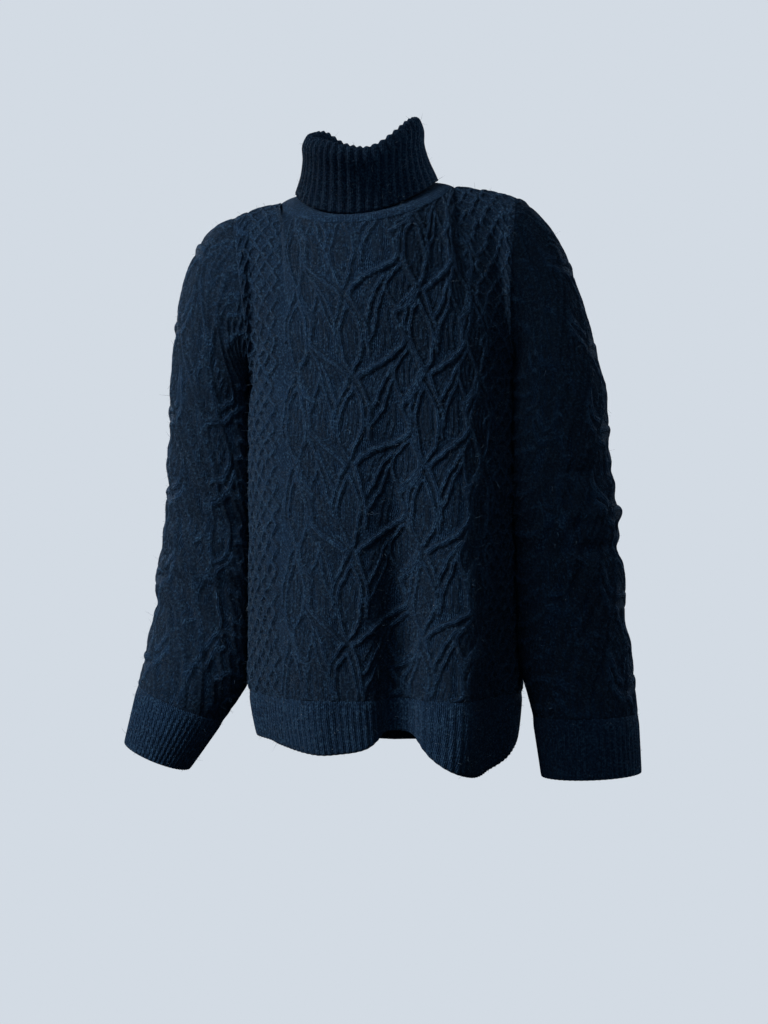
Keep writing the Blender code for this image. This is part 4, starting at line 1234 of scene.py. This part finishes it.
def make_specks(rng):
    """A few tiny pale bits of lint caught in the wool."""
    bm = bmesh.new()
    for name in SPECKLED:
        places, ways = face_samples(PIECES[name], SPECK_COUNT // len(SPECKLED), everywhere, rng)
        for place, way in zip(places, ways):
            made = bmesh.ops.create_icosphere(bm, subdivisions=1, radius=rng.uniform(*SPECK_SIZE))
            for vert in made["verts"]:
                vert.co += Vector(place + way * SPECK_STANDS)
    return loose_piece(mesh_from(bm, "lint_specks"), loose_wool("lint", *LINT_FINISH))


def loose_piece(mesh, material):
    mesh.materials.append(material)
    piece = in_scene(mesh.name, mesh)
    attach(piece, "root")
    return piece


# ---- studio


def look_at(thing, place, target):
    thing.location = place
    thing.rotation_euler = (Vector(target) - Vector(place)).to_track_quat("-Z", "Y").to_euler()


def lit_pieces(name, only, left_out):
    """The meshes that a light reaches: only the named ones, or all but those left out."""
    lit = bpy.data.collections.new(name)
    for piece in bpy.context.scene.objects:
        if piece.type == "MESH" and (piece.name in only if only else piece.name not in left_out):
            lit.objects.link(piece)
    return lit


def add_light(kind, name, place, target, power, colour, only, left_out, **settings):
    light = bpy.data.lights.new(name, kind)
    for key, value in {"energy": power, "color": colour, **settings}.items():
        setattr(light, key, value)
    lamp = in_scene(name, light)
    look_at(lamp, place, target)
    if only or left_out:
        lamp.light_linking.receiver_collection = lit_pieces(name, only, left_out)


def make_camera():
    turn = math.radians(CAMERA_TURN)
    back = Vector((math.sin(turn), -math.cos(turn), 0))
    target = Vector((CAMERA_SIDE * math.cos(turn), CAMERA_SIDE * math.sin(turn), CAMERA_HEIGHT))
    camera = in_scene("camera", bpy.data.cameras.new("camera"))
    look_at(camera, target + back * CAMERA_DISTANCE, target)
    camera.data.sensor_fit = "VERTICAL"
    camera.data.sensor_height = FILM_HEIGHT
    camera.data.lens = FILM_HEIGHT * CAMERA_DISTANCE / FRAME_HEIGHT
    bpy.context.scene.camera = camera


def make_cove():
    """A round room of pale paper, curved up from its floor. It gives the garment no light."""
    edge, low = COVE_RADIUS - COVE_BEND, FLOOR + COVE_BEND
    angles = np.linspace(0, math.pi / 2, COVE_BEND_STEPS)
    arc = [(edge + COVE_BEND * math.sin(a), low - COVE_BEND * math.cos(a)) for a in angles]
    profile = [(COVE_HOLE, FLOOR), *arc, (COVE_RADIUS, COVE_TOP), (COVE_HOLE, COVE_TOP)]
    bm = bmesh.new()
    verts = [bm.verts.new((0, radius, height)) for radius, height in profile]
    edges = [bm.edges.new(pair) for pair in zip(verts, verts[1:])]
    around = {"axis": (0, 0, 1), "angle": 2 * math.pi, "steps": COVE_STEPS, "use_merge": True}
    bmesh.ops.spin(bm, geom=verts + edges, **around)
    mesh = mesh_from(bm, "paper_cove")
    mesh.shade_smooth()
    material, shader, start = new_material("pale_paper")
    start.fill(shader, PAPER)
    mesh.materials.append(material)
    cove = in_scene("paper_cove", mesh)
    for ray in ("diffuse", "glossy", "transmission", "shadow"):
        setattr(cove, f"visible_{ray}", False)


def make_studio():
    make_camera()
    make_cove()
    scene = bpy.context.scene
    scene.world = bpy.data.worlds.new("soft_room")
    scene.world.use_nodes = True
    room = scene.world.node_tree.nodes["Background"]
    room.inputs[0].default_value = (*ROOM_COLOUR, 1.0)
    room.inputs[1].default_value = ROOM_STRENGTH
    for name, place, size, power, colour, only, left_out in LIGHTS:
        add_light("AREA", name, place, LIT_PLACE, power, colour, only, left_out, shape="DISK", size=size)
    add_light("SPOT", "shoulder_beam", WINDOW, BEAM_AIM, BEAM_POWER, WHITE, SHADED, (), **BEAM)
    scene.view_settings.view_transform = "Standard"
    scene.view_settings.look = "None"


# ---- everything

random = np.random.default_rng(SEED)
cable_knit, ribbing, smooth_knit = (wool(name, *finish) for name, finish in WOOLS.items())
make_panels(cable_knit)
make_sleeves(cable_knit, ribbing)
make_ribbing(ribbing, smooth_knit)
make_nap(random)
make_specks(random)
make_studio()
